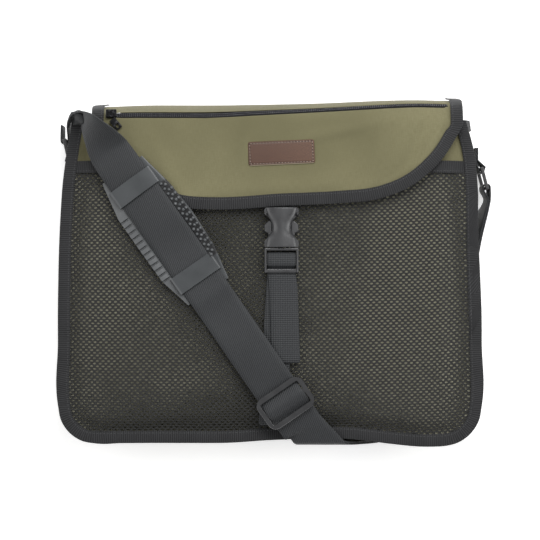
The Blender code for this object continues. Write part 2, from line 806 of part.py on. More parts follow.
def place_box(name, middle, axes, sizes, colour, roughness, metallic=0.0, bevel=0.0):
    """A box with its middle and directions given, its edges bevelled."""
    sections = []
    for along in (-0.5, 0.5):
        section = []
        for across, up in ((-0.5, -0.5), (0.5, -0.5), (0.5, 0.5), (-0.5, 0.5)):
            section.append(middle + axes[0] * (along * sizes[0]) + axes[1] * (across * sizes[1])
                           + axes[2] * (up * sizes[2]))
        sections.append(section)
    piece = finish(name, loft_mesh(name, sections), colour, roughness, metallic, smooth=False)
    if bevel > 0.0:
        rounded = piece.modifiers.new("edges", "BEVEL")
        rounded.width = bevel
        rounded.segments = 1
    return piece


def frame_piece(name, corner, along, across, up, along_lines, across_lines, holes, colour):
    """A flat moulded frame: a plate on two directions, cut through in the cells that are named."""
    half = BAR / 2
    outer = []
    inner = []
    for a in along_lines:
        outer.append([corner + along * a + across * b + up * half for b in across_lines])
        inner.append([corner + along * a + across * b - up * half for b in across_lines])
    mesh = sheet_mesh(name, outer, inner, lambda row, column: (row, column) not in holes)
    piece = finish(name, mesh, colour, 0.4, smooth=False)
    rounded = piece.modifiers.new("edges", "BEVEL")
    rounded.width = 0.0005
    rounded.segments = 1
    return piece


def make_zip_pull():
    x = -0.1404
    middle, across, outward = zip_frame(x)
    right = Vector((1.0, 0.0, 0.0))
    place_box("zip_slider", middle + outward * 0.0024, (right, across, outward),
              (0.0095, 0.0085, 0.0028), BLACK, 0.35, 0.8, bevel=0.0006)
    start = Vector((-0.1372, 0.1312))
    end = Vector((-0.1318, 0.1246))
    run = (end - start)
    length = run.length
    along = Vector((run.x, run.y, 0.0)).normalized()
    side = Vector((-along.y, along.x, 0.0))
    high = max(flap_under(start.x, start.y), flap_under(end.x, end.y)) + CANVAS
    corner = Vector((start.x, start.y, high + 0.0009))
    outer = []
    inner = []
    for a in (0.0, length * 0.55, length * 0.85, length):
        outer.append([corner + along * a + side * b + Vector((0, 0, 0.0006)) for b in
                      (-0.0024, -0.0009, 0.0009, 0.0024)])
        inner.append([corner + along * a + side * b - Vector((0, 0, 0.0006)) for b in
                      (-0.0024, -0.0009, 0.0009, 0.0024)])
    mesh = sheet_mesh("zip_puller", outer, inner, lambda row, column: (row, column) != (1, 1))
    finish("zip_puller", mesh, BLACK, 0.35, 0.8, smooth=False)


def make_label():
    """A patch of leather on the flap, turned a little."""
    middle = Vector((0.0100, 0.1035))
    turn = math.radians(2.6)
    half_long = 0.0295
    half_high = 0.01075
    outer = []
    inner = []
    for row in range(4):
        b = half_high * (2.0 * row / 3 - 1.0)
        upper = []
        lower = []
        for column in range(9):
            a = half_long * (2.0 * column / 8 - 1.0)
            x = middle.x + a * math.cos(turn) - b * math.sin(turn)
            y = middle.y + a * math.sin(turn) + b * math.cos(turn)
            low = flap_under(x, y) + CANVAS + GAP
            upper.append(Vector((x, y, low + 0.0016)))
            lower.append(Vector((x, y, low)))
        outer.append(upper)
        inner.append(lower)
    finish("leather_label", sheet_mesh("leather_label", outer, inner), LEATHER, 0.7)


# Webbing


def ribbon_mesh(name, stations, wall):
    """A webbing through stations; each is the row of points across it, in its middle surface."""
    sections = []
    for index, row in enumerate(stations):
        before = stations[max(0, index - 1)]
        after = stations[min(len(stations) - 1, index + 1)]
        upper = []
        lower = []
        for place, point in enumerate(row):
            first = (point - before[place])
            second = (after[place] - point)
            if index == 0:
                first = second
            if index == len(stations) - 1:
                second = first
            forward = (first.normalized() + second.normalized()).normalized()
            left = row[max(0, place - 1)]
            right = row[min(len(row) - 1, place + 1)]
            normal = forward.cross((right - left).normalized()).normalized()
            upper.append(point + normal * (wall / 2))
            lower.append(point - normal * (wall / 2))
        sections.append(upper + lower[::-1])
    return loft_mesh(name, sections)


def across_row(middle, side, half):
    return [middle - side * half, middle.copy(), middle + side * half]


FRONT_LINE = smooth_line([Vector((row["x"], row["y"], row["lean"])) for row in FRONT_RUN], 8)


def front_lengths():
    lengths = [0.0]
    for before, after in zip(FRONT_LINE, FRONT_LINE[1:]):
        lengths.append(lengths[-1] + (after.xy - before.xy).length)
    return lengths


LENGTHS = front_lengths()


def front_place(at):
    """Place, direction and lean of the strap's middle line at a length along it."""
    for index in range(len(LENGTHS) - 1):
        if at <= LENGTHS[index + 1] or index == len(LENGTHS) - 2:
            low = FRONT_LINE[index]
            high = FRONT_LINE[index + 1]
            share = (at - LENGTHS[index]) / (LENGTHS[index + 1] - LENGTHS[index])
            place = low + (high - low) * share
            run = (high.xy - low.xy).normalized()
            return place.xy, run, max(0.0, place.z)
    return None


def length_at(x, y):
    """Length along the strap's front line of the point nearest to a place."""
    target = Vector((x, y))
    index = min(range(len(FRONT_LINE)), key=lambda i: (FRONT_LINE[i].xy - target).length)
    return LENGTHS[index]


HEIGHT_STEP = 0.004
BANDS = {
    "left": (-0.030, -0.022, -0.014, -0.006),
    "middle": (-0.017, -0.009, 0.0, 0.009, 0.017),
    "right": (0.006, 0.014, 0.022, 0.030),
}


def strap_heights():
    """What the strap lies on along its front line, in three bands across it, with its stiffness."""
    count = int(LENGTHS[-1] / HEIGHT_STEP) + 2
    heights = {}
    for band, asides in BANDS.items():
        raw = []
        for index in range(count):
            place, run, lean = front_place(index * HEIGHT_STEP)
            side = Vector((-run.y, run.x))
            raw.append(max(cover((place + side * v).x, (place + side * v).y) for v in asides) + GAP)
        stiff = []
        for index in range(count):
            place, run, lean = front_place(index * HEIGHT_STEP)
            slope = 0.22 + 0.60 * ease((-0.075 - place.y) / 0.03)
            stiff.append(max(raw[other] - slope * abs(other - index) * HEIGHT_STEP for other in range(count)))
        soft = []
        for index in range(count):
            near = stiff[max(0, index - 3):index + 4]
            soft.append(sum(near) / len(near) + 0.0004)
        heights[band] = soft
    return heights


def ride(at, aside):
    """Height of the underside of what lies on the strap's front line."""
    place = min(max(at / HEIGHT_STEP, 0.0), len(HEIGHTS["middle"]) - 1.001)
    index = int(place)
    share = place - index

    def band(name):
        return HEIGHTS[name][index] * (1.0 - share) + HEIGHTS[name][index + 1] * share

    edge = band("left") if aside < 0 else band("right")
    lean = min(1.0, abs(aside) / 0.028)
    return band("middle") * (1.0 - lean) + edge * lean


def front_row(at, above):
    """The row of points across the strap at a length along its front, raised by what is under it."""
    if abs(at - SLIDER_AT) < 0.0040 and above > 0.0:
        return over_slider(at)
    place, run, lean = front_place(at)
    side = Vector((-run.y, run.x))
    half = STRAP_WIDTH / 2
    tilt = math.radians(lean)
    low = ride(at, -half * math.cos(tilt)) + WEBBING / 2 + above
    row = []
    for share in (-1.0, 0.0, 1.0):
        aside = share * half * math.cos(tilt)
        flat = ride(at, aside) + WEBBING / 2 + above
        raised = low + (share + 1.0) * half * math.sin(tilt)
        spot = place + side * aside
        row.append(Vector((spot.x, spot.y, max(flat, raised) if lean > 0.5 else flat)))
    return row


PAD_START = length_at(-0.1308, 0.0887)
SLIDER_AT = length_at(0.0136, -0.1172)
PAD_STACK = PAD_BASE + 2 * GAP + 0.0002
OVER_BAR = 0.0058
SLIDER_REACH = 0.0136


def slider_frame():
    """Middle and directions of the strap's slider, tilted to lie on the strap that passes under its ends."""
    place, run, lean = front_place(SLIDER_AT)
    side = Vector((-run.y, run.x))
    needed = []
    for way, layers in ((-1.0, 0.0), (1.0, LAYER)):
        at = SLIDER_AT + way * SLIDER_REACH
        needed.append(max(ride(at, v) for v in (-0.019, 0.0, 0.019)) + layers + WEBBING + GAP + 0.0003)
    left = ride(SLIDER_AT, -0.019)
    right = ride(SLIDER_AT, 0.019)
    along = Vector((side.x, side.y, 0.5 * (right - left) / 0.038)).normalized()
    across = Vector((run.x, run.y, (needed[1] - needed[0]) / (2 * SLIDER_REACH))).normalized()
    up = across.cross(along).normalized()
    across = along.cross(up).normalized()
    middle = Vector((place.x, place.y, sum(needed) / 2 + 0.0004 + BAR / 2))
    return middle, along, across, up


def over_slider(at):
    """The row of the strap where it passes over the slider's middle bar."""
    middle, along, across, up = slider_frame()
    high = middle + up * (BAR / 2 + GAP + 0.0003 + WEBBING / 2) + across * (at - SLIDER_AT)
    return [high - along * (STRAP_WIDTH / 2), high, high + along * (STRAP_WIDTH / 2)]


# What lies under the strap along its front: the pad's base, then the slider's middle bar, then its own return
STACK = (
    {"at": PAD_START - 0.018, "above": 0.0},
    {"at": PAD_START - 0.004, "above": PAD_STACK},
    {"at": PAD_START + PAD_LENGTH + 0.004, "above": PAD_STACK},
    {"at": PAD_START + PAD_LENGTH + 0.018, "above": 0.0},
    {"at": SLIDER_AT - 0.0108, "above": 0.0},
    {"at": SLIDER_AT - 0.0034, "above": OVER_BAR},
    {"at": SLIDER_AT + 0.0034, "above": OVER_BAR},
    {"at": SLIDER_AT + 0.0106, "above": LAYER},
    {"at": SLIDER_AT + 0.0500, "above": LAYER},
)


def front_stations():
    places = [row["at"] for row in STACK[:-1]]
    places.extend((SLIDER_AT - 0.018, SLIDER_AT + 0.018))
    for bridge in BRIDGES:
        places.extend(PAD_START + bridge["along"] + step * BRIDGE_LENGTH / 2 for step in (-1, 0, 1))
    at = 0.0
    while at < LENGTHS[-1]:
        if min(abs(at - place) for place in places) > 0.0035:
            places.append(at)
        at += 0.0095
    places.append(LENGTHS[-1])
    return sorted(places)


def hidden_rows(inner):
    """Rows across the hidden part of the strap; the inner layer is the one that comes back."""
    line = smooth_line([Vector((row["x"], row["y"], row["z"], row["lean"])) for row in HIDDEN_RUN], 2)
    rows = []
    for index, place in enumerate(line):
        before = line[max(0, index - 1)].xyz
        after = line[min(len(line) - 1, index + 1)].xyz
        run = (after - before).normalized()
        lean = math.radians(place.w)
        side = Vector((math.cos(lean), 0.0, math.sin(lean)))
        outward = run.cross(side)
        half = STRAP_WIDTH / 2 / outward.length
        outward.normalize()
        middle = place.xyz - outward * (LAYER if inner else 0.0)
        rows.append(across_row(middle, side, half))
    return rows


def bar_turn(x, y, z, way):
    """Rows round an upright bar: way is 1 for a turn above it and -1 for a turn below it."""
    near = 0.0018
    far = 0.0032
    up = Vector((0.0, 0.0, 1.0))
    turns = ((far, -0.0026), (far, near), (near, far), (-near, far), (-far, near), (-far, -0.0026))
    return [across_row(Vector((x + dx, y + way * dy, z)), up, STRAP_WIDTH / 2) for dx, dy in turns]


def make_shoulder_strap():
    half = STRAP_WIDTH / 2
    up = Vector((0.0, 0.0, 1.0))
    x = LEFT_RING["strap_x"]
    y = LEFT_RING["strap_y"]
    z = LEFT_RING["z"]
    rows = [across_row(Vector((x - 0.0030, y + 0.0140, z)), up, half)]
    rows.extend(reversed(bar_turn(x, y, z, -1.0)))
    curl = (
        {"x": -0.1808, "y": 0.1230, "z": 0.0240, "east": 0.00, "north": 0.00},
        {"x": -0.1806, "y": 0.1310, "z": 0.0310, "east": 0.00, "north": -0.45},
        {"x": -0.1770, "y": 0.1378, "z": 0.0440, "east": -0.20, "north": -0.45},
        {"x": -0.1705, "y": 0.1395, "z": 0.0590, "east": -0.25, "north": -0.05},
        {"x": -0.1645, "y": 0.1372, "z": 0.0715, "east": 0.10, "north": 0.12},
    )
    for row in curl:
        side = Vector((row["east"], row["north"], 1.0)).normalized()
        rows.append(across_row(Vector((row["x"], row["y"], row["z"])), side, half))
    for at in front_stations():
        rows.append(front_row(at, between(STACK, "at", at, "above")))
    rows.extend(hidden_rows(False))
    rows.extend(bar_turn(RIGHT_RING["strap_x"], RIGHT_RING["strap_y"], RIGHT_RING["z"], 1.0))
    returning = hidden_rows(True)[::-1]
    for at in (LENGTHS[-1], SLIDER_AT + 0.018, SLIDER_AT + 0.0106, SLIDER_AT + 0.0015):
        returning.append(front_row(at, 0.0))
    rows.extend(returning)
    finish("shoulder_strap", ribbon_mesh("shoulder_strap", rows, WEBBING), STRAP_GREY, 0.7)


def make_rings():
    for name, ring in (("ring_left", LEFT_RING), ("ring_right", RIGHT_RING)):
        tab = Vector((ring["tab_x"], ring["tab_y"], ring["z"]))
        strap = Vector((ring["strap_x"], ring["strap_y"], ring["z"]))
        across = (strap - tab).normalized()
        along = Vector((0.0, 0.0, 1.0))
        span = (strap - tab).length
        outside = RING_WINDOW + RING_END
        frame_piece(name, tab, along, across, along.cross(across),
                    (-outside, -RING_WINDOW, RING_WINDOW, outside),
                    (-BAR / 2, BAR / 2, span - BAR / 2, span + BAR / 2), {(1, 1)}, BLACK)


def make_ring_tabs():
    """Webbing looped round each ring's inner bar, both ends lying on the gusset."""
    for name, ring, sign in (("ring_tab_left", LEFT_RING, -1.0), ("ring_tab_right", RIGHT_RING, 1.0)):
        x = ring["tab_x"]
        y = ring["tab_y"]
        away = 1.0 if sign > 0 else -1.0
        up = Vector((0.0, 0.0, 1.0))
        rows = []
        near = 0.0018
        far = 0.0032
        length = 0.0190

        def lying(distance, layer):
            at = y + away * distance
            web = web_at(sign, at, 0.5)
            out = CANVAS / 2 + 4 * GAP + WEBBING / 2 + layer * LAYER
            return Vector((web.x + sign * out, at, ring["z"]))

        rows.append(lying(length, 1))
        rows.append(lying(0.0075, 1))
        for dx, dy in ((far, near), (near, -far), (-near, -far), (-far, near)):
            rows.append(Vector((x + sign * dx, y + away * dy, ring["z"])))
        rows.append(lying(0.0075, 0))
        rows.append(lying(length, 0))
        stations = [across_row(middle, up, TAB_WIDTH / 2) for middle in rows]
        finish(name, ribbon_mesh(name, stations, WEBBING), STRAP_GREY, 0.7)


def make_strap_slider():
    middle, along, across, up = slider_frame()
    frame_piece("strap_slider", middle, along, across, up,
                (-0.02375, -0.0200, 0.0200, 0.02375),
                (-0.0160, -0.0112, -0.0024, 0.0024, 0.0112, 0.0160), {(1, 1), (1, 3)}, PLASTIC)


def pad_heights(along, ribbed):
    """Rows across the pad at a length along it: how far aside each is and how thick the pad is there."""
    left = between(PAD_OUTLINE, "along", along, "left")
    right = between(PAD_OUTLINE, "along", along, "right")
    flange = ease((left - 0.0235) / 0.0045)
    rib = 0.0010 * flange if ribbed else -RIB_DEPTH
    return (
        (-left, PAD_BASE + rib - 0.0002),
        (min(-left + 0.0062, -0.0207), PAD_BASE + rib),
        (-0.0200, PAD_BASE),
        (0.0, PAD_BASE),
        (0.0200, PAD_BASE),
        (max(right - 0.0015, 0.0206), PAD_BASE + 0.0004 * flange),
        (right, PAD_BASE - 0.0004),
    )


def pad_mesh():
    """The pad's base, flat, with a rib and a gap in turn along its left flange."""
    columns = [(0.0, True), (0.0120, True), (0.0240, True)]
    for rib in range(RIB_COUNT):
        start = RIB_FROM + rib * RIB_PITCH
        columns.extend(((start, True), (start + RIB_WIDTH, True)))
        if rib < RIB_COUNT - 1:
            columns.extend(((start + RIB_WIDTH + 0.0003, False), (start + RIB_PITCH - 0.0003, False)))
    columns.extend(((0.1120, True), (0.1200, True), (PAD_LENGTH, True)))
    outer = []
    inner = []
    for along, ribbed in columns:
        rows = pad_heights(along, ribbed)
        outer.append([Vector((along, aside, thick)) for aside, thick in rows])
        inner.append([Vector((along, aside, 0.0)) for aside, thick in rows])
    return sheet_mesh("pad_base", outer, inner)


def box_mesh(name, low, high):
    sections = []
    for x in (low[0], high[0]):
        sections.append([Vector((x, low[1], low[2])), Vector((x, high[1], low[2])),
                         Vector((x, high[1], high[2])), Vector((x, low[1], high[2]))])
    return loft_mesh(name, sections)


def outward_mesh(mesh):
    shape = bmesh.new()
    shape.from_mesh(mesh)
    bmesh.ops.recalc_face_normals(shape, faces=shape.faces)
    shape.to_mesh(mesh)
    shape.free()
    return mesh


def combine(name, base, steps):
    """Join and cut meshes in turn and give the one body that is left."""
    body = bpy.data.objects.new(name, outward_mesh(base))
    bpy.context.collection.objects.link(body)
    tools = []
    for index, (operation, mesh) in enumerate(steps):
        tool = bpy.data.objects.new(f"{name}_tool_{index}", outward_mesh(mesh))
        bpy.context.collection.objects.link(tool)
        tools.append(tool)
        step = body.modifiers.new(f"step_{index}", "BOOLEAN")
        step.operation = operation
        step.solver = "EXACT"
        step.object = tool
    graph = bpy.context.evaluated_depsgraph_get()
    result = bpy.data.meshes.new_from_object(body.evaluated_get(graph), depsgraph=graph)
    for item in [body, *tools]:
        bpy.data.objects.remove(item, do_unlink=True)
    return result


def make_strap_pad():
    """The rubber pad, with two bridges over the strap, bent to lie on what is under it."""
    steps = []
    inner = STRAP_WIDTH / 2 + 0.0005
    outer = inner + BRIDGE_WALL
    under = PAD_STACK + WEBBING + GAP + 0.0002
    for bridge in BRIDGES:
        low = bridge["along"] - BRIDGE_LENGTH / 2
        high = bridge["along"] + BRIDGE_LENGTH / 2
        section = [(-outer, 0.0008), (-inner, 0.0008), (-inner, under), (0.0, under), (inner, under),
                   (inner, 0.0008), (outer, 0.0008), (outer, under + BRIDGE_WALL * 0.5),
                   (inner, under + BRIDGE_WALL), (0.0, under + BRIDGE_WALL), (-inner, under + BRIDGE_WALL),
                   (-outer, under + BRIDGE_WALL * 0.5)]
        sections = [[Vector((along, aside, up)) for aside, up in section]
                    for along in (low, (low + high) / 2, high)]
        steps.append(("UNION", loft_mesh("bridge", sections)))
    mesh = combine("strap_pad_flat", pad_mesh(), steps)
    for vert in mesh.vertices:
        along, aside, up = vert.co
        place, run, lean = front_place(PAD_START + along)
        side = Vector((-run.y, run.x))
        spot = place + side * aside
        vert.co = (spot.x, spot.y, ride(PAD_START + along, aside) + up)
    finish("strap_pad", mesh, RUBBER_GREY, 0.6)


# The closure


def deck(y):
    """Plane that the underside of the buckle lies in."""
    ends = []
    for end in (-0.0030, 0.0560):
        ends.append(max(net_top(*unsettle(CLOSURE_X + dx, end)) for dx in (-0.015, 0.0, 0.015)))
    share = (y + 0.0030) / 0.0590
    return ends[0] + (ends[1] - ends[0]) * share + GAP + 0.0006


BUCKLE_HIGH = 0.0080
SOCKET_OUTLINE = (
    {"x": 0.0145, "y": 0.0201}, {"x": 0.0152, "y": 0.0215}, {"x": 0.0150, "y": 0.0255},
    {"x": 0.0112, "y": 0.0292}, {"x": 0.0086, "y": 0.0330}, {"x": 0.0078, "y": 0.0373},
    {"x": 0.0086, "y": 0.0420}, {"x": 0.0112, "y": 0.0458}, {"x": 0.0150, "y": 0.0495},
    {"x": 0.0152, "y": 0.0528}, {"x": 0.0145, "y": 0.0542},
)


def plate_mesh(name, outline, low, high):
    """A plate of an outline that is the same on both sides of the middle."""
    points = [(row["x"], row["y"]) for row in outline]
    points.extend((-x, y) for x, y in reversed(points))
    return loft_mesh(name, [[Vector((x, y, z)) for x, y in points] for z in (low, high)])


def lay_on_deck(mesh):
    for vert in mesh.vertices:
        x, y, z = vert.co
        vert.co = (CLOSURE_X + x, y, deck(y) + z)
    return mesh


def make_buckle():
    high = BUCKLE_HIGH
    socket = combine("socket", plate_mesh("socket_plate", SOCKET_OUTLINE, 0.0, high), (
        ("DIFFERENCE", box_mesh("hollow", (-0.0123, 0.0150, 0.0016), (0.0123, 0.0460, 0.0064))),
        ("DIFFERENCE", box_mesh("slot", (-0.0131, 0.0478, -0.001), (0.0131, 0.0514, high + 0.001))),
        ("DIFFERENCE", box_mesh("below", (-0.0131, 0.0500, -0.001), (0.0131, 0.0600, 0.0021))),
        ("DIFFERENCE", box_mesh("above", (-0.0131, 0.0500, 0.0050), (0.0131, 0.0600, high + 0.001))),
    ))
    finish("buckle_socket", lay_on_deck(socket), PLASTIC, 0.4, smooth=False)
    arm = (
        {"x": 0.0084, "y": 0.0180}, {"x": 0.0116, "y": 0.0180}, {"x": 0.0116, "y": 0.0322},
        {"x": 0.0150, "y": 0.0340}, {"x": 0.0150, "y": 0.0400}, {"x": 0.0108, "y": 0.0438},
        {"x": 0.0084, "y": 0.0430},
    )
    steps = [
        ("DIFFERENCE", box_mesh("slot_one", (-0.0131, 0.0133, -0.001), (0.0131, 0.0170, high + 0.001))),
        ("DIFFERENCE", box_mesh("slot_two", (-0.0131, 0.0010, -0.001), (0.0131, 0.0052, high + 0.001))),
        ("DIFFERENCE", box_mesh("below", (-0.0131, -0.0060, -0.001), (0.0131, 0.0140, 0.0036))),
        ("DIFFERENCE", box_mesh("above", (-0.0131, -0.0060, 0.0058), (0.0131, 0.0140, high + 0.001))),
    ]
    for sign in (1.0, -1.0):
        points = [(row["x"] * sign, row["y"]) for row in arm]
        steps.append(("UNION", loft_mesh("arm", [[Vector((x, y, z)) for x, y in points]
                                                 for z in (0.0022, 0.0058)])))
    body = box_mesh("plug", (-0.0150, -0.0026, 0.0), (0.0150, 0.0194, high))
    finish("buckle_plug", lay_on_deck(combine("plug", body, steps)), PLASTIC, 0.4, smooth=False)


def net_rest(x, y):
    """Height that webbing lies at on the net."""
    highest = 0.0
    for dx in (-0.0125, 0.0, 0.0125):
        for dy in (-0.006, 0.0, 0.006):
            highest = max(highest, net_top(*unsettle(x + dx, y + dy)))
    return highest + GAP + 0.0001


def make_closure():
    half = CLOSURE_WIDTH / 2
    right = Vector((1.0, 0.0, 0.0))
    mid = WEBBING / 2
    tab = []
    for y in (0.0845, 0.0740, 0.0640, 0.0570):
        tab.append(Vector((CLOSURE_X, y, net_rest(CLOSURE_X, y) + mid)))
    for y, above in ((0.0525, 0.0010), (0.0508, 0.0014), (0.0498, 0.0030), (0.0499, 0.0048),
                     (0.0510, 0.0061), (0.0536, 0.0062)):
        tab.append(Vector((CLOSURE_X, y, deck(y) + above)))
    rows = [across_row(middle, right, half) for middle in tab]
    finish("flap_tab", ribbon_mesh("flap_tab", rows, WEBBING), STRAP_GREY, 0.7)
    line = []
    lower = (
        {"y": -0.1375, "x": 0.0024}, {"y": -0.1280, "x": 0.0028}, {"y": -0.1160, "x": 0.0034},
        {"y": -0.1000, "x": 0.0041}, {"y": -0.0800, "x": 0.0052}, {"y": -0.0550, "x": 0.0068},
        {"y": -0.0300, "x": 0.0082}, {"y": -0.0120, "x": 0.0094},
    )
    for row in lower:
        line.append(Vector((row["x"], row["y"], net_rest(row["x"], row["y"]) + mid)))
    weave = (
        {"y": -0.0045, "above": 0.0002}, {"y": 0.0100, "above": 0.0008}, {"y": 0.0138, "above": 0.0016},
        {"y": 0.0152, "above": 0.0034}, {"y": 0.0150, "above": 0.0060}, {"y": 0.0128, "above": 0.0070},
        {"y": 0.0058, "above": 0.0070}, {"y": 0.0037, "above": 0.0060}, {"y": 0.0032, "above": 0.0040},
        {"y": 0.0014, "above": 0.0026}, {"y": -0.0040, "above": 0.0025},
    )
    for row in weave:
        line.append(Vector((CLOSURE_X, row["y"], deck(row["y"]) + row["above"])))
    tail = (
        {"y": -0.0120, "x": 0.0117}, {"y": -0.0300, "x": 0.0124}, {"y": -0.0500, "x": 0.0131},
        {"y": -0.0680, "x": 0.0137}, {"y": TAIL_END, "x": 0.0142},
    )
    for row in tail:
        line.append(Vector((row["x"], row["y"], net_rest(row["x"] - 0.002, row["y"]) + LAYER + 0.0002 + mid)))
    rows = [across_row(middle, right, half) for middle in line]
    finish("closure_strap", ribbon_mesh("closure_strap", rows, WEBBING), STRAP_GREY, 0.7)


HEIGHTS = strap_heights()


def main():
    remove_old_objects()
    make_panels()
    make_bindings()
    make_gusset()
    make_gusset_hems()
    make_pocket_hem()
    make_flap()
    make_flap_binding()
    make_zip()
    make_zip_pull()
    make_label()
    make_shoulder_strap()
    make_rings()
    make_ring_tabs()
    make_strap_slider()
    make_strap_pad()
    make_buckle()
    make_closure()


main()
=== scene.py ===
"""Looks of the hunting game bag: canvas, net, tape, webbing, rubber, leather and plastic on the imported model.

Metres, +Z up. The bag lies on its back with its mouth towards +Y, and is seen from straight above.
"""

import math

import bmesh
import bpy
import numpy as np
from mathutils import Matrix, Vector
from mathutils.bvhtree import BVHTree


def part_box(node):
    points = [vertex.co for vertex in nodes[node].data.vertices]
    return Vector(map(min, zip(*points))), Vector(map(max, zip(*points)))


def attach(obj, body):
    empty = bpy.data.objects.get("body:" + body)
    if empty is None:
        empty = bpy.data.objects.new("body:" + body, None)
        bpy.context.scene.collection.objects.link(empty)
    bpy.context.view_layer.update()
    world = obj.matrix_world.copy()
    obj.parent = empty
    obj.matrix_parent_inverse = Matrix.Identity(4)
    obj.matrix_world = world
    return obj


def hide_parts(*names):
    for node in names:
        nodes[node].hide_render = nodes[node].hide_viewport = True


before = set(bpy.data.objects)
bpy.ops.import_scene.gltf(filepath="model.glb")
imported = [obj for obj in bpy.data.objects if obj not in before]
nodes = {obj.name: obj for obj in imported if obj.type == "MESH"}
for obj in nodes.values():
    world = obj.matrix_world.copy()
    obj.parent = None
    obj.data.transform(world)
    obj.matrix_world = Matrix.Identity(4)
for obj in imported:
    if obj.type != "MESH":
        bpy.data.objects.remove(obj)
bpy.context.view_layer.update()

# The back panel: one piece of khaki canvas, a plain weave of slubby cotton, cut to the bag's outline.
# It lies flat on the table apart from where the shoulder strap runs under it.
KHAKI = (0.186, 0.172, 0.092, 1.0)
KHAKI_DARK = (0.142, 0.132, 0.070, 1.0)
KHAKI_PALE = (0.235, 0.219, 0.125, 1.0)
THREAD = 0.00078
MERGED_WITHIN = 0.00003
SOFT_BEND = 70
FIRM_BEND = 50
SQUARE_FROM = 62


class Wire:
    """A socket in a material. Sums on it add Math nodes, and node() adds a node of any other kind."""

    def __init__(self, tree, socket=None):
        self.tree = tree
        self.socket = socket

    def node(self, kind, settings=None, inputs=None, output=0):
        made = self.tree.nodes.new(kind)
        for name, value in (settings or {}).items():
            setattr(made, name, value)
        for name, value in (inputs or {}).items():
            if isinstance(value, Wire):
                self.tree.links.new(value.socket, made.inputs[name])
            else:
                made.inputs[name].default_value = value
        return Wire(self.tree, made.outputs[output])

    def maths(self, operation, other=0.0, reflected=False):
        first, second = (other, self) if reflected else (self, other)
        return self.node("ShaderNodeMath", {"operation": operation}, {0: first, 1: second})

    def __add__(self, other):
        return self.maths("ADD", other)

    def __sub__(self, other):
        return self.maths("SUBTRACT", other)

    def __rsub__(self, other):
        return self.maths("SUBTRACT", other, True)

    def __mul__(self, other):
        return self.maths("MULTIPLY", other)

    def sine(self, pitch, shift=0.0):
        """A wave along this length, one crest every pitch."""
        return (self * (2.0 * math.pi / pitch) + shift).maths("SINE")

    def part(self, axis):
        return self.node("ShaderNodeSeparateXYZ", None, {0: self}, axis)

    def noise(self, scale, detail=2.0, stretch=(1.0, 1.0, 1.0)):
        """Cloudy grain over a place, from 0 to 1; stretch draws it out along an axis."""
        place = self.node("ShaderNodeVectorMath", {"operation": "MULTIPLY"}, {0: self, 1: stretch})
        return self.node("ShaderNodeTexNoise", None, {"Vector": place, "Scale": scale, "Detail": detail})

    def between(self, low, high):
        """This value spread from 0 at low to 1 at high."""
        return self.node("ShaderNodeMapRange", None, {0: self, 1: low, 2: high})

    def mixed(self, first, second):
        """Between two colours, by this value."""
        return self.node("ShaderNodeMix", {"data_type": "RGBA"}, {0: self, 6: first, 7: second}, 2)

    def bump(self, strength, distance):
        return self.node("ShaderNodeBump", None, {"Height": self, "Strength": strength, "Distance": distance})


def finish_called(name, paint):
    """A material; paint takes the place on the cloth and the place in the bag, and fills the sockets."""
    material = bpy.data.materials.new(name)
    material.use_nodes = True
    tree = material.node_tree
    surface = tree.nodes["Principled BSDF"]
    wire = Wire(tree)
    own = wire.node("ShaderNodeUVMap", {"uv_map": "cloth"})
    place = wire.node("ShaderNodeTexCoord", None, None, "Object")
    for socket, value in paint(own, place).items():
        if isinstance(value, Wire):
            tree.links.new(value.socket, surface.inputs[socket])
        else:
            surface.inputs[socket].default_value = value
    return material


def paint_canvas(own, place):
    across = own.part("X")
    along = own.part("Y")
    weave = across.sine(THREAD) * along.sine(THREAD)
    slub_along = own.noise(1.0, 3.0, (1500.0, 160.0, 1.0))
    slub_across = own.noise(1.0, 3.0, (190.0, 1500.0, 1.0))
    slubs = slub_along * 0.55 + slub_across * 0.45
    patches = place.noise(11.0, 2.0)
    tone = slubs.between(0.36, 0.66)
    colour = tone.mixed(KHAKI, KHAKI_PALE)
    colour = patches.between(0.80, 0.20).mixed(KHAKI_DARK, colour)
    height = weave * 0.026 + slubs * 0.083 + place.noise(24.0, 1.0, (1.0, 0.6, 1.0)) * 1.8
    return {
        "Base Color": colour, "Roughness": 0.88, "Sheen Weight": 0.12, "Sheen Roughness": 0.5,
        "Specular IOR Level": 0.25, "Normal": height.bump(0.55, 0.0031),
    }


canvas = finish_called("khaki_canvas", paint_canvas)


def opened(mesh):
    shape = bmesh.new()
    shape.from_mesh(mesh)
    return shape


def closed(shape, mesh):
    """Write an edited shape to a mesh."""
    shape.to_mesh(mesh)
    shape.free()
    return mesh


def merged(node):
    """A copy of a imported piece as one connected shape."""
    shape = opened(nodes[node].data)
    bmesh.ops.remove_doubles(shape, verts=shape.verts, dist=MERGED_WITHIN)
    return shape


def placed(name, data):
    thing = bpy.data.objects.new(name, data)
    bpy.context.scene.collection.objects.link(thing)
    return thing


def settled(piece):
    """Turn what a piece's modifiers make into its plain mesh."""
    graph = bpy.context.evaluated_depsgraph_get()
    mesh = bpy.data.meshes.new_from_object(piece.evaluated_get(graph), depsgraph=graph)
    piece.modifiers.clear()
    piece.data = mesh
    return piece


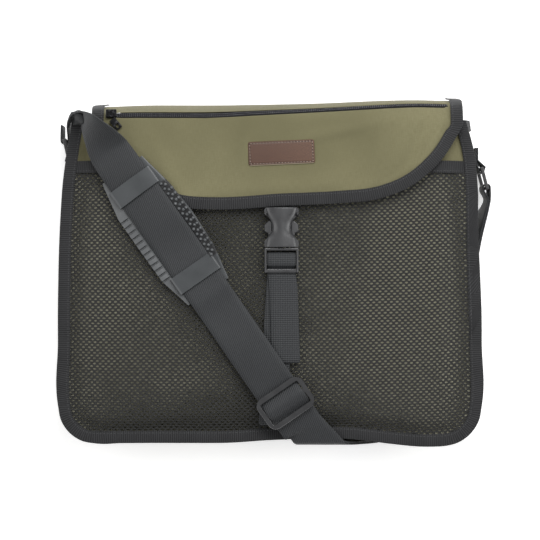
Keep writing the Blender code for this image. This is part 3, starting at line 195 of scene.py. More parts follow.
def soft_copy(node, name, levels, firm=0.0):
    """A copy of a sewn piece, its facets drawn out into one soft surface; firm keeps its square edges."""
    shape = merged(node)
    wide = math.radians(FIRM_BEND if firm else SOFT_BEND)
    bmesh.ops.join_triangles(shape, faces=shape.faces, angle_face_threshold=wide, angle_shape_threshold=wide)
    if firm:
        crease = shape.edges.layers.float.new("crease_edge")
        for edge in shape.edges:
            if edge.calc_face_angle(0.0) > math.radians(SQUARE_FROM):
                edge[crease] = firm
    piece = placed(name, closed(shape, bpy.data.meshes.new(name)))
    soften = piece.modifiers.new("soften", "SUBSURF")
    soften.levels = levels
    soften.render_levels = levels
    return settled(piece)


def points_of(mesh):
    co = np.empty(len(mesh.vertices) * 3)
    mesh.vertices.foreach_get("co", co)
    return co.reshape(-1, 3)


def move_to(mesh, co):
    mesh.vertices.foreach_set("co", co.ravel())
    mesh.update()


def lay_threads(mesh, heading=0.0):
    """Give a mesh the cloth's own place, in metres, read off along the two axes that it faces least.

    On what faces up, the threads run the way that heading says, in degrees.
    """
    layer = mesh.uv_layers.get("cloth") or mesh.uv_layers.new(name="cloth")
    corners = np.empty(len(mesh.loops), dtype=np.int64)
    mesh.loops.foreach_get("vertex_index", corners)
    co = points_of(mesh)[corners]
    normals = np.empty(len(mesh.polygons) * 3)
    mesh.polygons.foreach_get("normal", normals)
    sizes = np.empty(len(mesh.polygons), dtype=np.int64)
    mesh.polygons.foreach_get("loop_total", sizes)
    facing = np.repeat(np.abs(normals.reshape(-1, 3)).argmax(axis=1), sizes)
    east = (math.cos(math.radians(heading)), math.sin(math.radians(heading)))
    uv = np.column_stack((co[:, 0] * east[0] + co[:, 1] * east[1], co[:, 1] * east[0] - co[:, 0] * east[1]))
    uv[facing == 0] = co[facing == 0][:, 1:]
    uv[facing == 1] = co[facing == 1][:, ::2]
    layer.data.foreach_set("uv", uv.ravel())


def ridges(co, table):
    """How far soft folds lift each point. A fold is x, y, heading, half its length and width, and height."""
    lift = np.zeros(len(co))
    for x, y, heading, long, wide, high in table:
        cosine, sine = math.cos(math.radians(heading)), math.sin(math.radians(heading))
        east, north = co[:, 0] - x, co[:, 1] - y
        along = east * cosine + north * sine
        aside = north * cosine - east * sine
        lift += high * np.exp(-(along / long) ** 2 - (aside / wide) ** 2)
    return lift


def folded(piece, table, above=-1.0, fade=1.0):
    """Press soft folds into a piece; they fade in from a height upwards."""
    spots = points_of(piece.data)
    spots[:, 2] += ridges(spots, table) * np.clip((spots[:, 2] - above) / fade, 0.0, 1.0)
    move_to(piece.data, spots)


def dress(piece, material):
    """Give a piece its material, smooth shading and body."""
    piece.data.materials.clear()
    piece.data.materials.append(material)
    piece.data.shade_smooth()
    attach(piece, "root")
    return piece


back_panel = soft_copy("back_panel", "back_canvas", 3)
lay_threads(back_panel.data)
dress(back_panel, canvas)
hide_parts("back_panel")

# The gusset: one long band of the same canvas, sewn to the back and the front, round sides and bottom.
# It bulges out between its two seams, most at the mouth.
gusset = soft_copy("gusset", "gusset_canvas", 2)
lay_threads(gusset.data)
dress(gusset, canvas)
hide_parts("gusset")

# The front panel: the same canvas again, which shows through the net and above it.
# It swells over what the main compartment would hold; under the net its colour carries painted light and shade.
FRONT_FOLDS = (
    (0.174, 0.112, 60.0, 0.016, 0.004, -0.0009), (-0.172, 0.112, 115.0, 0.016, 0.004, -0.0012),
    (-0.165, 0.098, 40.0, 0.014, 0.004, 0.0008), (-0.1635, 0.104, 70.0, 0.014, 0.005, -0.0070),
)
NET_COVERS = 0.096
PAINTED_SHADE_MIDDLE = -0.034
PAINTED_SHADOW_LOW = (-0.104, -0.134)
PAINTED_LIGHT_PALE = (0.690, 0.670, 0.510, 1.0)
PAINTED_SHADE_DARK = (0.150, 0.146, 0.100, 1.0)


def paint_front(own, place):
    """The canvas, painted with light and shade where the net covers it: palest towards the sides, darker in the
    middle and towards the bottom.
    """
    paint = paint_canvas(own, place)
    covered = place.part("Y").between(NET_COVERS, NET_COVERS - 0.004)
    # Painted light and shade under the net: paler towards the sides, darker in the middle, and a painted shadow
    # towards the bottom, broken up by noise.
    aside = place.part("X") - PAINTED_SHADE_MIDDLE
    aside = aside * aside * 42.0
    low = place.part("Y").between(*PAINTED_SHADOW_LOW)
    cloud = place.noise(17.0, 3.0) * 1.7 - 0.75
    fine = place.noise(330.0, 1.0) * 0.8 - 0.4
    painted_light_and_shade = (aside + cloud + fine + 0.30 - low * 0.7).between(0.0, 1.0).mixed(PAINTED_SHADE_DARK, PAINTED_LIGHT_PALE)
    paint["Base Color"] = covered.mixed(paint["Base Color"], painted_light_and_shade)
    return paint


front_painted_light = finish_called("canvas_painted_light", paint_front)
front = soft_copy("front_panel", "front_canvas", 2)
folded(front, FRONT_FOLDS)
lay_threads(front.data)
dress(front, front_painted_light)
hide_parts("front_panel")

# The binding tapes: ribbed grosgrain, folded over the raw edges and sewn through with one row of stitches.
# Front and back tapes go round the sides and the bottom; shorter ones finish the mouth's ends and the net.
TAPE_GREY = (0.0105, 0.0107, 0.0116, 1.0)
TAPE_PALE = (0.0370, 0.0372, 0.0390, 1.0)
TAPE_RIB = 0.0019
TAPE_ROUND = 0.0005
TAPE_STEP = 0.0030
TAPE_WALLS = ((3, 4), (7, 0))
STRIP_CORNERS = 8
FLAT_WITHIN = 12
MEETS_WITHIN = 0.002
CUT_SHARE = 0.4
ROUND_SHARE = 0.28
RIPPLED_FROM = 12
RIPPLE_HIGH = 0.0003
RIPPLE_LONG = 0.041
TAPES = (
    ("front_binding", "front_tape", (-0.165, 0.137, 0.050), (0.170, 0.137, 0.050)),
    ("back_binding", "back_tape", (-0.165, 0.137, 0.003), (0.169, 0.137, 0.003)),
    ("gusset_hem_left", "mouth_tape_left", (-0.165, 0.129, 0.045), (-0.165, 0.129, 0.005)),
    ("gusset_hem_right", "mouth_tape_right", (0.174, 0.129, 0.045), (0.174, 0.129, 0.005)),
    ("pocket_hem", "pocket_tape", (-0.170, 0.0915, 0.054), (0.171, 0.0915, 0.054), (0.0115, 0.0075)),
)


def paint_tape(own, place):
    rib = own.part("X").sine(TAPE_RIB) * 0.5 + 0.5
    fine = own.part("Y").sine(0.0006) * 0.12
    cloud = place.noise(60.0, 3.0)
    colour = (rib * 0.75 + cloud * 0.45).between(0.2, 1.0).mixed(TAPE_GREY, TAPE_PALE)
    return {
        "Base Color": colour, "Roughness": 0.72, "Sheen Weight": 0.15, "Sheen Roughness": 0.4,
        "Specular IOR Level": 0.3, "Normal": (rib + fine + cloud * 0.5).bump(0.8, 0.00026),
    }


tape = finish_called("ribbed_tape", paint_tape)


def sections(node, count, start):
    """A strip's sections of count corners in order, from the end nearest to a place just beyond it."""
    shape = merged(node)
    shape.normal_update()
    place = Vector(start)
    ends = []
    grouped = set()
    for seed in shape.faces:
        if seed in grouped:
            continue
        flat = {seed}
        waiting = [seed]
        while waiting:
            for edge in waiting.pop().edges:
                for other in edge.link_faces:
                    if other not in flat and other.normal.angle(seed.normal, 3.0) < math.radians(FLAT_WITHIN):
                        flat.add(other)
                        waiting.append(other)
        grouped |= flat
        rim = {}
        for face in flat:
            for loop in face.loops:
                if sum(other in flat for other in loop.edge.link_faces) == 1:
                    rim[loop.vert] = loop.link_loop_next.vert
        if len(rim) == count:
            first = [next(iter(rim))]
            while rim[first[-1]] is not first[0] and len(first) <= count:
                first.append(rim[first[-1]])
            middle = sum((vert.co for vert in first), Vector()) / len(first)
            near = {edge.other_vert(vert) for vert in first for edge in vert.link_edges} - set(first)
            if len(first) == count and len(near) == count:
                ends.append(((middle - place).length, len(ends), first))
    first = min(ends)[2]
    rows = [first]
    seen = set(first)
    while True:
        last = rows[-1]
        beyond = {face for vert in last for face in vert.link_faces if any(v not in seen for v in face.verts)}
        around = {vert for face in beyond for vert in face.verts} - seen
        if len(around) != count:
            break
        beside_it = {vert: set() for vert in around}
        for face in beyond:
            fresh = [vert for vert in face.verts if vert in around]
            if len(fresh) == 2:
                beside_it[fresh[0]].add(fresh[1])
                beside_it[fresh[1]].add(fresh[0])
        ring = [next(iter(around))]
        while len(ring) < count:
            ring.append(next(vert for vert in beside_it[ring[-1]] if vert not in ring))
        move = (sum((vert.co for vert in ring), Vector()) - sum((vert.co for vert in last), Vector())) / count
        linked = [{edge.other_vert(vert) for edge in vert.link_edges} for vert in last]
        choices = []
        for way in (ring, ring[::-1]):
            for shift in range(count):
                order = way[shift:] + way[:shift]
                loose = sum(vert not in links for vert, links in zip(order, linked))
                far = sum((vert.co - move - other.co).length for vert, other in zip(order, last))
                choices.append((loose, far, len(choices), order))
        rows.append(min(choices)[3])
        seen.update(ring)
    found = np.array([[tuple(vert.co) for vert in row] for row in rows])
    shape.free()
    return found


def full_sections(node, count, start, end):
    """Sections from both ends, joined where a straight stretch leaves out corners."""
    rows = sections(node, count, start)
    back = sections(node, count, end)[::-1]
    if np.linalg.norm(rows[-1].mean(axis=0) - back[-1].mean(axis=0)) < MEETS_WITHIN:
        return rows
    fits = []
    for flipped in (back, back[:, ::-1]):
        for shift in range(count):
            ring = np.roll(flipped, shift, axis=1)
            fits.append((np.linalg.norm(ring[0] - rows[-1], axis=1).sum(), len(fits), ring))
    return np.concatenate((rows, min(fits)[2]))


def turned(rows, low_pairs):
    """Start each section at the same corner: where the sides that low_pairs names are shortest together."""
    count = rows.shape[1]

    def total(shift):
        ring = np.roll(rows, -shift, axis=1)
        return sum(np.linalg.norm(ring[:, a] - ring[:, b], axis=1).sum() for a, b in low_pairs)

    return np.roll(rows, -min(range(count), key=total), axis=1)


def drawn_out(rows, step):
    """Sections at even lengths along a smooth line through the ones given."""
    middle = rows.mean(axis=1)
    gaps = np.maximum(np.linalg.norm(np.diff(middle, axis=0), axis=1), 1e-6)
    at = np.concatenate(([0.0], np.cumsum(gaps)))
    slope = np.diff(rows, axis=0) / gaps[:, None, None]
    tangent = np.concatenate((slope[:1], slope))
    share = (gaps[:-1] / (gaps[:-1] + gaps[1:]))[:, None, None]
    tangent[1:-1] = slope[:-1] * (1.0 - share) + slope[1:] * share
    places = np.linspace(0.0, at[-1], max(2, int(at[-1] / step) + 1))
    index = np.clip(np.searchsorted(at, places, side="right") - 1, 0, len(gaps) - 1)
    gap = gaps[index][:, None, None]
    t = ((places - at[index]) / gaps[index])[:, None, None]
    drawn = rows[index] * (2 * t**3 - 3 * t**2 + 1) + rows[index + 1] * (3 * t**2 - 2 * t**3)
    drawn += gap * (tangent[index] * (t**3 - 2 * t**2 + t) + tangent[index + 1] * (t**3 - t**2))
    return places, drawn


def rounded(rows, radius):
    """Cut each corner of every section back to two points and a middle one."""
    before = np.roll(rows, 1, axis=1) - rows
    after = np.roll(rows, -1, axis=1) - rows
    cuts = []
    for way in (before, after):
        size = np.maximum(np.linalg.norm(way, axis=2, keepdims=True), 1e-9)
        cuts.append(way / size * np.minimum(radius, size * CUT_SHARE))
    middle = (cuts[0] + cuts[1]) * ROUND_SHARE
    return np.stack((rows + cuts[0], rows + middle, rows + cuts[1]), axis=2).reshape(len(rows), -1, 3)


def built(name, points, edges, faces):
    mesh = bpy.data.meshes.new(name)
    mesh.from_pydata(points, edges, faces)
    return placed(name, mesh)


def quads(rows, across, ring=True):
    """Faces between rows of points, where each row closes on itself unless ring says otherwise."""
    beside = [(place, (place + 1) % across) for place in range(across if ring else across - 1)]
    return [(low + a, low + b, low + across + b, low + across + a)
            for low in range(0, (rows - 1) * across, across) for a, b in beside]


def strip(name, places, rows):
    """A closed strip through sections, with its length and the way round it as the cloth's own place."""
    count, corners = rows.shape[:2]
    around = np.linalg.norm(np.roll(rows[0], -1, axis=0) - rows[0], axis=1)
    around = np.concatenate(([0.0], np.cumsum(around)))
    ends = [tuple(reversed(range(corners))), tuple(range((count - 1) * corners, count * corners))]
    piece = built(name, rows.reshape(-1, 3).tolist(), [], quads(count, corners) + ends)
    uv = []
    for row in range(count - 1):
        for corner in range(corners):
            for end, side in ((0, 0), (0, 1), (1, 1), (1, 0)):
                uv.extend((places[row + end], around[corner + side]))
    uv.extend([0.0] * (4 * corners))
    piece.data.uv_layers.new(name="cloth").data.foreach_set("uv", uv)
    shape = opened(piece.data)
    bmesh.ops.recalc_face_normals(shape, faces=shape.faces)
    closed(shape, piece.data)
    return piece


def ripple(rows, places, height, pitch):
    """Sewn tape is never quite flat: a small uneven wave along it."""
    wave = np.sin(places * 2 * math.pi / pitch) + 0.7 * np.sin(places * 2 * math.pi / (pitch * 0.63) + 1.3)
    rows[:, :, 2] += (height * 0.5 * wave)[:, None]


def lengthened(rows, sizes):
    """Carry a strip on past its two ends, straight on."""
    ends = [rows[0] - rows[1], rows[-1] - rows[-2]]
    ends = [way / np.linalg.norm(way.mean(axis=0)) * size for way, size in zip(ends, sizes)]
    return np.concatenate((rows[:1] + ends[0], rows, rows[-1:] + ends[1]))


def tape_along(node, name, start, end, longer=(0.0, 0.0)):
    """Rebuild a folded tape from its packed sections; gives the piece and its sections."""
    rows = turned(full_sections(node, STRIP_CORNERS, start, end), TAPE_WALLS)
    if longer[0]:
        rows = lengthened(rows, longer)
    if np.linalg.norm(rows[0, 1] - rows[0, 2]) < np.linalg.norm(rows[0, 5] - rows[0, 6]):
        rows = np.roll(rows, 4, axis=1)
    places, drawn = drawn_out(rows, TAPE_STEP)
    if len(rows) > RIPPLED_FROM:
        ripple(drawn, places, RIPPLE_HIGH, RIPPLE_LONG)
    piece = strip(name, places, rounded(drawn, TAPE_ROUND))
    dress(piece, tape)
    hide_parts(node)
    return piece, drawn


tapes = {row[0]: tape_along(*row) for row in TAPES}
front_tape, pocket_tape = tapes["front_binding"][0], tapes["pocket_hem"][0]

# The stitches: grey thread, one row through each tape, sunk a little where it is pulled tight.
# Each row is a line laid on the finished tape, with one thread loop after another set out along it.
STITCH_PITCH = 0.0031
STITCH_LONG = 0.0023
STITCH_RADIUS = 0.00026
STITCH_SUNK = 0.00005
STITCH_FACES = (6, 4)
SEWN_AT = {"front_binding": 0.82, "back_binding": 0.82, "pocket_hem": 0.82, "gusset_hem_left": 0.80,
           "gusset_hem_right": 0.80}
THREAD_GREY = (0.050, 0.051, 0.053, 1.0)
THREAD_PALE = (0.085, 0.086, 0.090, 1.0)


def paint_thread(own, place):
    twist = place.noise(900.0, 2.0)
    return {"Base Color": twist.mixed(THREAD_GREY, THREAD_PALE), "Roughness": 0.6,
            "Normal": twist.bump(0.4, 0.0001)}


thread = finish_called("grey_thread", paint_thread)


def beaded(name, points, edges, material, sizes, ball_faces):
    """Copies of one stretched ball: strung at a pitch along the edges, or one on each point without them."""
    tree = bpy.data.node_groups.new(name, "GeometryNodeTree")
    tree.interface.new_socket("Places", in_out="INPUT", socket_type="NodeSocketGeometry")
    for socket in sizes:
        tree.interface.new_socket(socket, in_out="INPUT", socket_type="NodeSocketFloat")
    tree.interface.new_socket("Beads", in_out="OUTPUT", socket_type="NodeSocketGeometry")
    kinds = {
        "in": "NodeGroupInput", "out": "NodeGroupOutput",
        "line": "GeometryNodeMeshToCurve", "points": "GeometryNodeCurveToPoints",
        "ball": "GeometryNodeMeshUVSphere", "stretch": "GeometryNodeTransform",
        "size": "ShaderNodeCombineXYZ", "copies": "GeometryNodeInstanceOnPoints",
        "real": "GeometryNodeRealizeInstances", "finish": "GeometryNodeSetMaterial",
    }
    made = {key: tree.nodes.new(kind) for key, kind in kinds.items()}
    made["points"].mode = "LENGTH"
    for socket, value in (("Segments", ball_faces[0]), ("Rings", ball_faces[1]), ("Radius", 1.0)):
        made["ball"].inputs[socket].default_value = value
    made["finish"].inputs["Material"].default_value = material
    wires = [
        ("in", "Radius", "size", "X"), ("in", "Radius", "size", "Y"), ("in", "Long", "size", "Z"),
        ("ball", "Mesh", "stretch", "Geometry"), ("size", "Vector", "stretch", "Scale"),
        ("stretch", "Geometry", "copies", "Instance"), ("copies", "Instances", "real", "Geometry"),
        ("real", "Geometry", "finish", "Geometry"), ("finish", "Geometry", "out", "Beads"),
    ]
    if edges:
        wires += [("in", "Places", "line", "Mesh"), ("line", "Curve", "points", "Curve"),
                  ("in", "Pitch", "points", "Length"), ("points", "Points", "copies", "Points"),
                  ("points", "Rotation", "copies", "Rotation")]
    else:
        wires.append(("in", "Places", "copies", "Points"))
    for start, output, end, entry in wires:
        tree.links.new(made[start].outputs[output], made[end].inputs[entry])
    piece = built(name, points, edges, [])
    step = piece.modifiers.new("beads", "NODES")
    step.node_group = tree
    for item in tree.interface.items_tree:
        if item.in_out == "INPUT" and item.name in sizes:
            step[item.identifier] = sizes[item.name]
    return dress(settled(piece), material)


def sewn(name, lines, material, slot, long=STITCH_LONG, pitch=STITCH_PITCH, radius=STITCH_RADIUS):
    """Rows of stitches along lines of points."""
    points = []
    edges = []
    for line in lines:
        start = len(points)
        points.extend(tuple(point) for point in line)
        edges.extend((place, place + 1) for place in range(start, len(points) - 1))
    beaded(name, points, edges, material, {"Pitch": pitch, "Long": long / 2, "Radius": radius},
           STITCH_FACES)


def tape_line(rows, inset, side):
    """A line on one face of a folded tape; inset is how far in from its fold, as a share of its width."""
    fold, edge = ((1, 0), (2, 3))[side]
    line = rows[:, fold] + (rows[:, edge] - rows[:, fold]) * inset
    outward = rows[:, fold] - rows[:, 3 - fold]
    outward /= np.linalg.norm(outward, axis=1, keepdims=True)
    return line - outward * STITCH_SUNK


tape_lines = [tape_line(tapes[node][1], inset, side) for node, inset in SEWN_AT.items() for side in (0, 1)]
sewn("tape_stitches", tape_lines, thread, "grey_tape")

# The net pocket: black knotless net with rows of small long holes, every other row half a hole over.
# It is sewn into the front tape at the sides and the bottom, and stands off the canvas.
NET_BLACK = (0.0130, 0.0130, 0.0122, 1.0)
NET_SHINE = (0.046, 0.046, 0.041, 1.0)
HOLE_PITCH = 0.00514
ROW_PITCH = 0.00238
HOLE_LONG = 0.00152
HOLE_HIGH = 0.00084
NET_THICK = 0.0004
HOLE_CORNERS = ((-0.62, 0.72), (0.0, 1.0), (0.62, 0.72), (1.0, 0.0),
                (0.62, -0.72), (0.0, -1.0), (-0.62, -0.72), (-1.0, 0.0))
CELL_CORNERS = ((-1, 1), (0, 1), (1, 1), (1, 0), (1, -1), (0, -1), (-1, -1), (-1, 0))
NET_FOLDS = (
    (-0.150, -0.060, 88.0, 0.070, 0.007, 0.0012), (0.152, -0.010, 91.0, 0.080, 0.008, 0.0012),
    (-0.080, -0.128, 8.0, 0.060, 0.006, 0.0014), (0.105, -0.130, -6.0, 0.050, 0.006, 0.0014),
    (0.020, -0.060, 20.0, 0.060, 0.012, -0.0010), (0.140, 0.070, 60.0, 0.030, 0.007, 0.0008),
)


def paint_net(own, place):
    grain = own.noise(1.0, 2.0, (1400.0, 1400.0, 1.0))
    strands = own.part("X").sine(0.0007) * own.part("Y").sine(0.0005)
    colour = (grain * 0.7 + strands * 0.2).between(0.25, 0.75).mixed(NET_BLACK, NET_SHINE)
    return {"Base Color": colour, "Roughness": 0.55, "Specular IOR Level": 0.45,
            "Normal": (strands + grain).bump(0.6, 0.0002)}


net_finish = finish_called("black_net", paint_net)


def surface_tree(mesh):
    """What rays are cast against to find a mesh's surface."""
    shape = opened(mesh)
    tree = BVHTree.FromBMesh(shape)
    shape.free()
    return tree


def top_of(tree, x, y, above=0.2):
    """Height of a surface at a place seen from above, or None beside it."""
    hit = tree.ray_cast(Vector((x, y, above)), Vector((0.0, 0.0, -1.0)))[0]
    return None if hit is None else hit.z


net_form = soft_copy("net_pocket", "net_form", 2)
net_tree = surface_tree(net_form.data)
bpy.data.objects.remove(net_form, do_unlink=True)
net_low, net_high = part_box("net_pocket")


def walled(piece, thick):
    """Give a sheet its thickness, downwards from the face that is there."""
    wall = piece.modifiers.new("wall", "SOLIDIFY")
    wall.thickness = thick
    wall.offset = -1.0
    return settled(piece)


def net_half(name, west, east):
    """One half of the net, so that neither grows too heavy: a cell for each hole, cut through."""
    outer = [(a * HOLE_PITCH / 2, b * ROW_PITCH / 2) for a, b in CELL_CORNERS]
    inner = [(a * HOLE_LONG, b * HOLE_HIGH) for a, b in HOLE_CORNERS]
    found = {}
    points = []
    faces = []

    def point(x, y):
        key = (round(x * 2e5), round(y * 2e5))
        if key not in found:
            bent_x = x + 0.0006 * math.sin(y / 0.017 + x / 0.060)
            bent_y = y + 0.2 * max(0.0, x) ** 2 + 0.0002 * math.sin(x / 0.011 + y / 0.05)
            high = top_of(net_tree, bent_x, bent_y)
            found[key] = None if high is None else len(points)
            if high is not None:
                points.append((bent_x, bent_y, high))
        return found[key]

    rows = int((net_high.y - net_low.y) / ROW_PITCH) + 2
    columns = int((net_high.x - net_low.x) / HOLE_PITCH) + 3
    for row in range(rows):
        y = net_low.y + row * ROW_PITCH
        for column in range(columns):
            x = net_low.x + (column + 0.5 * (row % 2) - 1) * HOLE_PITCH
            if not west <= x < east:
                continue
            rim = [point(x + a, y + b) for a, b in outer]
            hole = [point(x + a, y + b) for a, b in inner]
            if None in rim or None in hole:
                continue
            for place in range(-1, len(rim) - 1):
                faces.append((rim[place], hole[place], hole[place + 1], rim[place + 1]))
    piece = built(name, points, [], faces)
    folded(piece, NET_FOLDS)
    shape = opened(piece.data)
    bmesh.ops.delete(shape, geom=[vert for vert in shape.verts if not vert.link_faces], context="VERTS")
    for face in shape.faces:
        face.normal_update()
        if face.normal.z < 0:
            face.normal_flip()
    closed(shape, piece.data)
    walled(piece, NET_THICK)
    lay_threads(piece.data)
    dress(piece, net_finish)
    return piece


net_west = net_half("net_left", -1.0, 0.0)
net_half("net_right", 0.0, 1.0)
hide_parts("net_pocket")

# The flap: canvas folded over the mouth from the back, with a rounded lower edge.
# Its soft folds run down from the mouth, and it is bound with the same tape.
FLAP_FOLDS = (
    (0.096, 0.112, 78.0, 0.030, 0.006, 0.0022), (0.128, 0.108, 66.0, 0.030, 0.007, -0.0025),
    (0.146, 0.118, 62.0, 0.022, 0.005, 0.0022), (0.060, 0.082, 28.0, 0.034, 0.008, 0.0018),
    (0.105, 0.080, 38.0, 0.030, 0.008, -0.0020), (-0.040, 0.092, 70.0, 0.026, 0.006, -0.0018),
    (-0.022, 0.104, 82.0, 0.026, 0.005, 0.0016), (-0.070, 0.110, 60.0, 0.030, 0.010, -0.0022),
    (0.000, 0.072, 4.0, 0.050, 0.006, 0.0016), (0.052, 0.120, 12.0, 0.050, 0.005, 0.0018),
    (-0.088, 0.085, 118.0, 0.034, 0.007, 0.0020),
)
FOLDS_ABOVE = 0.045
FOLDS_FADE = 0.012
FLAP_SEWN_AT = 0.82
flap = soft_copy("flap", "flap_canvas", 3)
folded(flap, FLAP_FOLDS, FOLDS_ABOVE, FOLDS_FADE)
lay_threads(flap.data)
dress(flap, canvas)
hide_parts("flap")
flap_tape, flap_rows = tape_along("flap_binding", "flap_tape", (-0.155, 0.150, 0.032), (0.162, 0.152, 0.030))
sewn("flap_stitches", [tape_line(flap_rows, FLAP_SEWN_AT, side) for side in (0, 1)], thread, "grey_tape")

# The webbing: woven strap with fine slanting ribs and firm selvedges, all of one dark grey.
# The shoulder strap is one loop of 38 mm webbing; the closure and the tabs are 25 mm wide.
WEBBING_GREY = (0.047, 0.050, 0.053, 1.0)
WEBBING_DARK = (0.021, 0.022, 0.024, 1.0)
RIB_PITCH = 0.0017
CLOSURE_RIB = 0.00185
SELVEDGE = 0.85
STRAPS = (("shoulder_strap", "shoulder_webbing", -54.4), ("closure_strap", "closure_webbing", 90))


def paint_webbing(own, place):
    length = own.part("X")
    across = own.part("Y")
    ribs = (length * 0.83 + across * 0.56).sine(RIB_PITCH)
    yarns = across.sine(0.0019) * 0.3
    grain = own.noise(1.0, 3.0, (900.0, 900.0, 1.0))
    cloud = place.noise(30.0, 2.0)
    tone = ribs * 0.36 + grain * 0.7 + cloud * 0.35
    colour = tone.between(0.15, 0.95).mixed(WEBBING_DARK, WEBBING_GREY)
    return {
        "Base Color": colour, "Roughness": 0.62, "Sheen Weight": 0.10, "Sheen Roughness": 0.4,
        "Specular IOR Level": 0.35, "Normal": (ribs + yarns + grain).bump(0.55, 0.00018),
    }


def paint_closure(own, place):
    ribs = own.part("X").sine(CLOSURE_RIB)
    yarns = own.part("Y").sine(0.0021)
    grain = own.noise(1.0, 3.0, (900.0, 900.0, 1.0))
    tone = ribs * 0.26 + yarns * 0.16 + grain * 0.6 + 0.1
    colour = tone.between(0.05, 0.85).mixed(WEBBING_DARK, WEBBING_GREY)
    return {"Base Color": colour, "Roughness": 0.60, "Specular IOR Level": 0.35,
            "Normal": (ribs + yarns + grain * 0.5).bump(0.55, 0.00020)}


webbing = finish_called("woven_webbing", paint_webbing)
strap_finishes = (webbing, finish_called("closure_webbing", paint_closure))
for (node, name, heading), material in zip(STRAPS, strap_finishes):
    strap = soft_copy(node, name, 2, SELVEDGE)
    lay_threads(strap.data, heading)
    dress(strap, material)
    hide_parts(node)

# The strap's fold: where the webbing turns over the upper left corner of the bag, it folds in on itself.
# A small fan of the same webbing under the turn closes the loop's mouth, as the fold does.
FOLD_RIM = ((-0.1759, 0.1322), (-0.1744, 0.1354), (-0.1712, 0.1378), (-0.1674, 0.1380), (-0.1641, 0.1366),
            (-0.1634, 0.1323), (-0.1639, 0.1293), (-0.1695, 0.1293), (-0.1752, 0.1293))
FOLD_SUNK = 0.0012
FOLD_BESIDE = 0.060
FOLD_THICK = 0.0010
FOLD_THREADS = 60
strap_tree = surface_tree(bpy.data.objects["shoulder_webbing"].data)
tape_tree = surface_tree(front_tape.data)
points = []
for x, y in FOLD_RIM:
    high = top_of(strap_tree, x, y) or top_of(tape_tree, x, y) or FOLD_BESIDE
    points.append((x, y, high - FOLD_SUNK))
count = len(points)
points.append(tuple(np.mean(points, axis=0)))
faces = [(place, (place + 1) % count, count) for place in range(count)]
fold = walled(built("strap_fold", points, [], faces), FOLD_THICK)
lay_threads(fold.data, FOLD_THREADS)
dress(fold, webbing)

# The tabs: short lengths of webbing, doubled through the rings and the buckle's bar and sewn down flat.
# They are stiff from their stitches, so they are eased at the edges in the same way as the hard pieces.
EASED_FROM = 30
TAB_EASE = 0.0003
TABS = (("flap_tab", "buckle_webbing"), ("ring_tab_left", "ring_webbing_left"),
        ("ring_tab_right", "ring_webbing_right"))


def round_corners(shape, across, along, radius):
    """Round a flat frame's four outer corners in plan: a fan of cuts each, then what is outside drawn in."""
    across = Vector(across).normalized()
    up = across.cross(Vector(along)).normalized()
    along = up.cross(across)
    low = Vector((min(vert.co.dot(axis) for vert in shape.verts) for axis in (across, along, up)))
    high = Vector((max(vert.co.dot(axis) for vert in shape.verts) for axis in (across, along, up)))
    middle = (low + high) / 2
    half = (high - low) / 2
    for east, north in ((1, 1), (1, -1), (-1, -1), (-1, 1)):
        centre = across * (middle.x + east * (half.x - radius)) + up * middle.z
        centre += along * (middle.y + north * (half.y - radius))
        for step in range(7):
            angle = math.radians(15 * step)
            way = across * east * math.cos(angle) + along * north * math.sin(angle)
            bmesh.ops.bisect_plane(shape, geom=shape.verts[:] + shape.edges[:] + shape.faces[:], dist=1e-6,
                                   plane_co=centre, plane_no=up.cross(way))
        for vert in shape.verts:
            out = vert.co - centre
            a, b = out.dot(across) * east, out.dot(along) * north
            far = math.hypot(a, b)
            if a > -1e-6 and b > -1e-6 and far > 1e-5:
                square = max(a, b) / far
                pull = min(max((max(a, b) / radius - 0.3) / 0.7, 0.0), 1.0)
                vert.co -= (across * east * a + along * north * b) * (1.0 - square) * pull


def moulded(node, name, material, round_by, segments=2, corner=None):
    """A copy of a hard piece with its edges eased, and its outer corners rounded where corner says how."""
    shape = merged(node)
    bmesh.ops.dissolve_limit(shape, angle_limit=math.radians(2), verts=shape.verts, edges=shape.edges)
    if corner:
        round_corners(shape, **corner)
    piece = placed(name, closed(shape, bpy.data.meshes.new(name)))
    ease = piece.modifiers.new("ease", "BEVEL")
    ease.width = round_by
    ease.segments = segments
    ease.limit_method = "ANGLE"
    ease.angle_limit = math.radians(EASED_FROM)
    even = piece.modifiers.new("even", "WEIGHTED_NORMAL")
    even.keep_sharp = True
    piece.data.shade_smooth()
    settled(piece)
    dress(piece, material)
    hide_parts(node)
    return piece


for node, name in TABS:
    lay_threads(moulded(node, name, webbing, TAB_EASE, 1).data)

# The strap pad: one moulding of soft grey rubber that the strap threads through, held down by two bridges.
# Its left flange carries bars, its right flange three rows of small round pegs; bars and pegs are painted paler
# as painted highlights, and the recess round the pegs is painted dark as painted shade.
RUBBER = (0.058, 0.063, 0.067, 1.0)
RUBBER_DARK = (0.041, 0.045, 0.048, 1.0)
PEG_WELL_SHADE = (0.009, 0.009, 0.010, 1.0)
FIN_PAINTED_HIGHLIGHT = (0.105, 0.110, 0.114, 1.0)
PEG_ROWS = ((0.0208, 0.0310, 15), (0.0236, 0.0337, 14), (0.0264, 0.0390, 12))
PEG_PITCH = 0.0054
PEG_RADIUS = 0.00175
PEG_HIGH = 0.0026
PEG_HIGHLIGHT = (0.135, 0.140, 0.144, 1.0)
PEG_FACES = (10, 6)
PEG_SUNK = 0.2
WELL_ASIDE = ((0.0188, 0.0194), (0.0286, 0.0280))
WELL_ALONG = ((0.0285, 0.0300), (0.1095, 0.1080))
FIN_HIGHLIGHT_ASIDE = (-0.0190, -0.0200)
PAD_LINE = ((-0.1308, 0.0887), (-0.1180, 0.0708), (-0.0915, 0.0343), (-0.0640, -0.0050), (-0.0500, -0.0252))


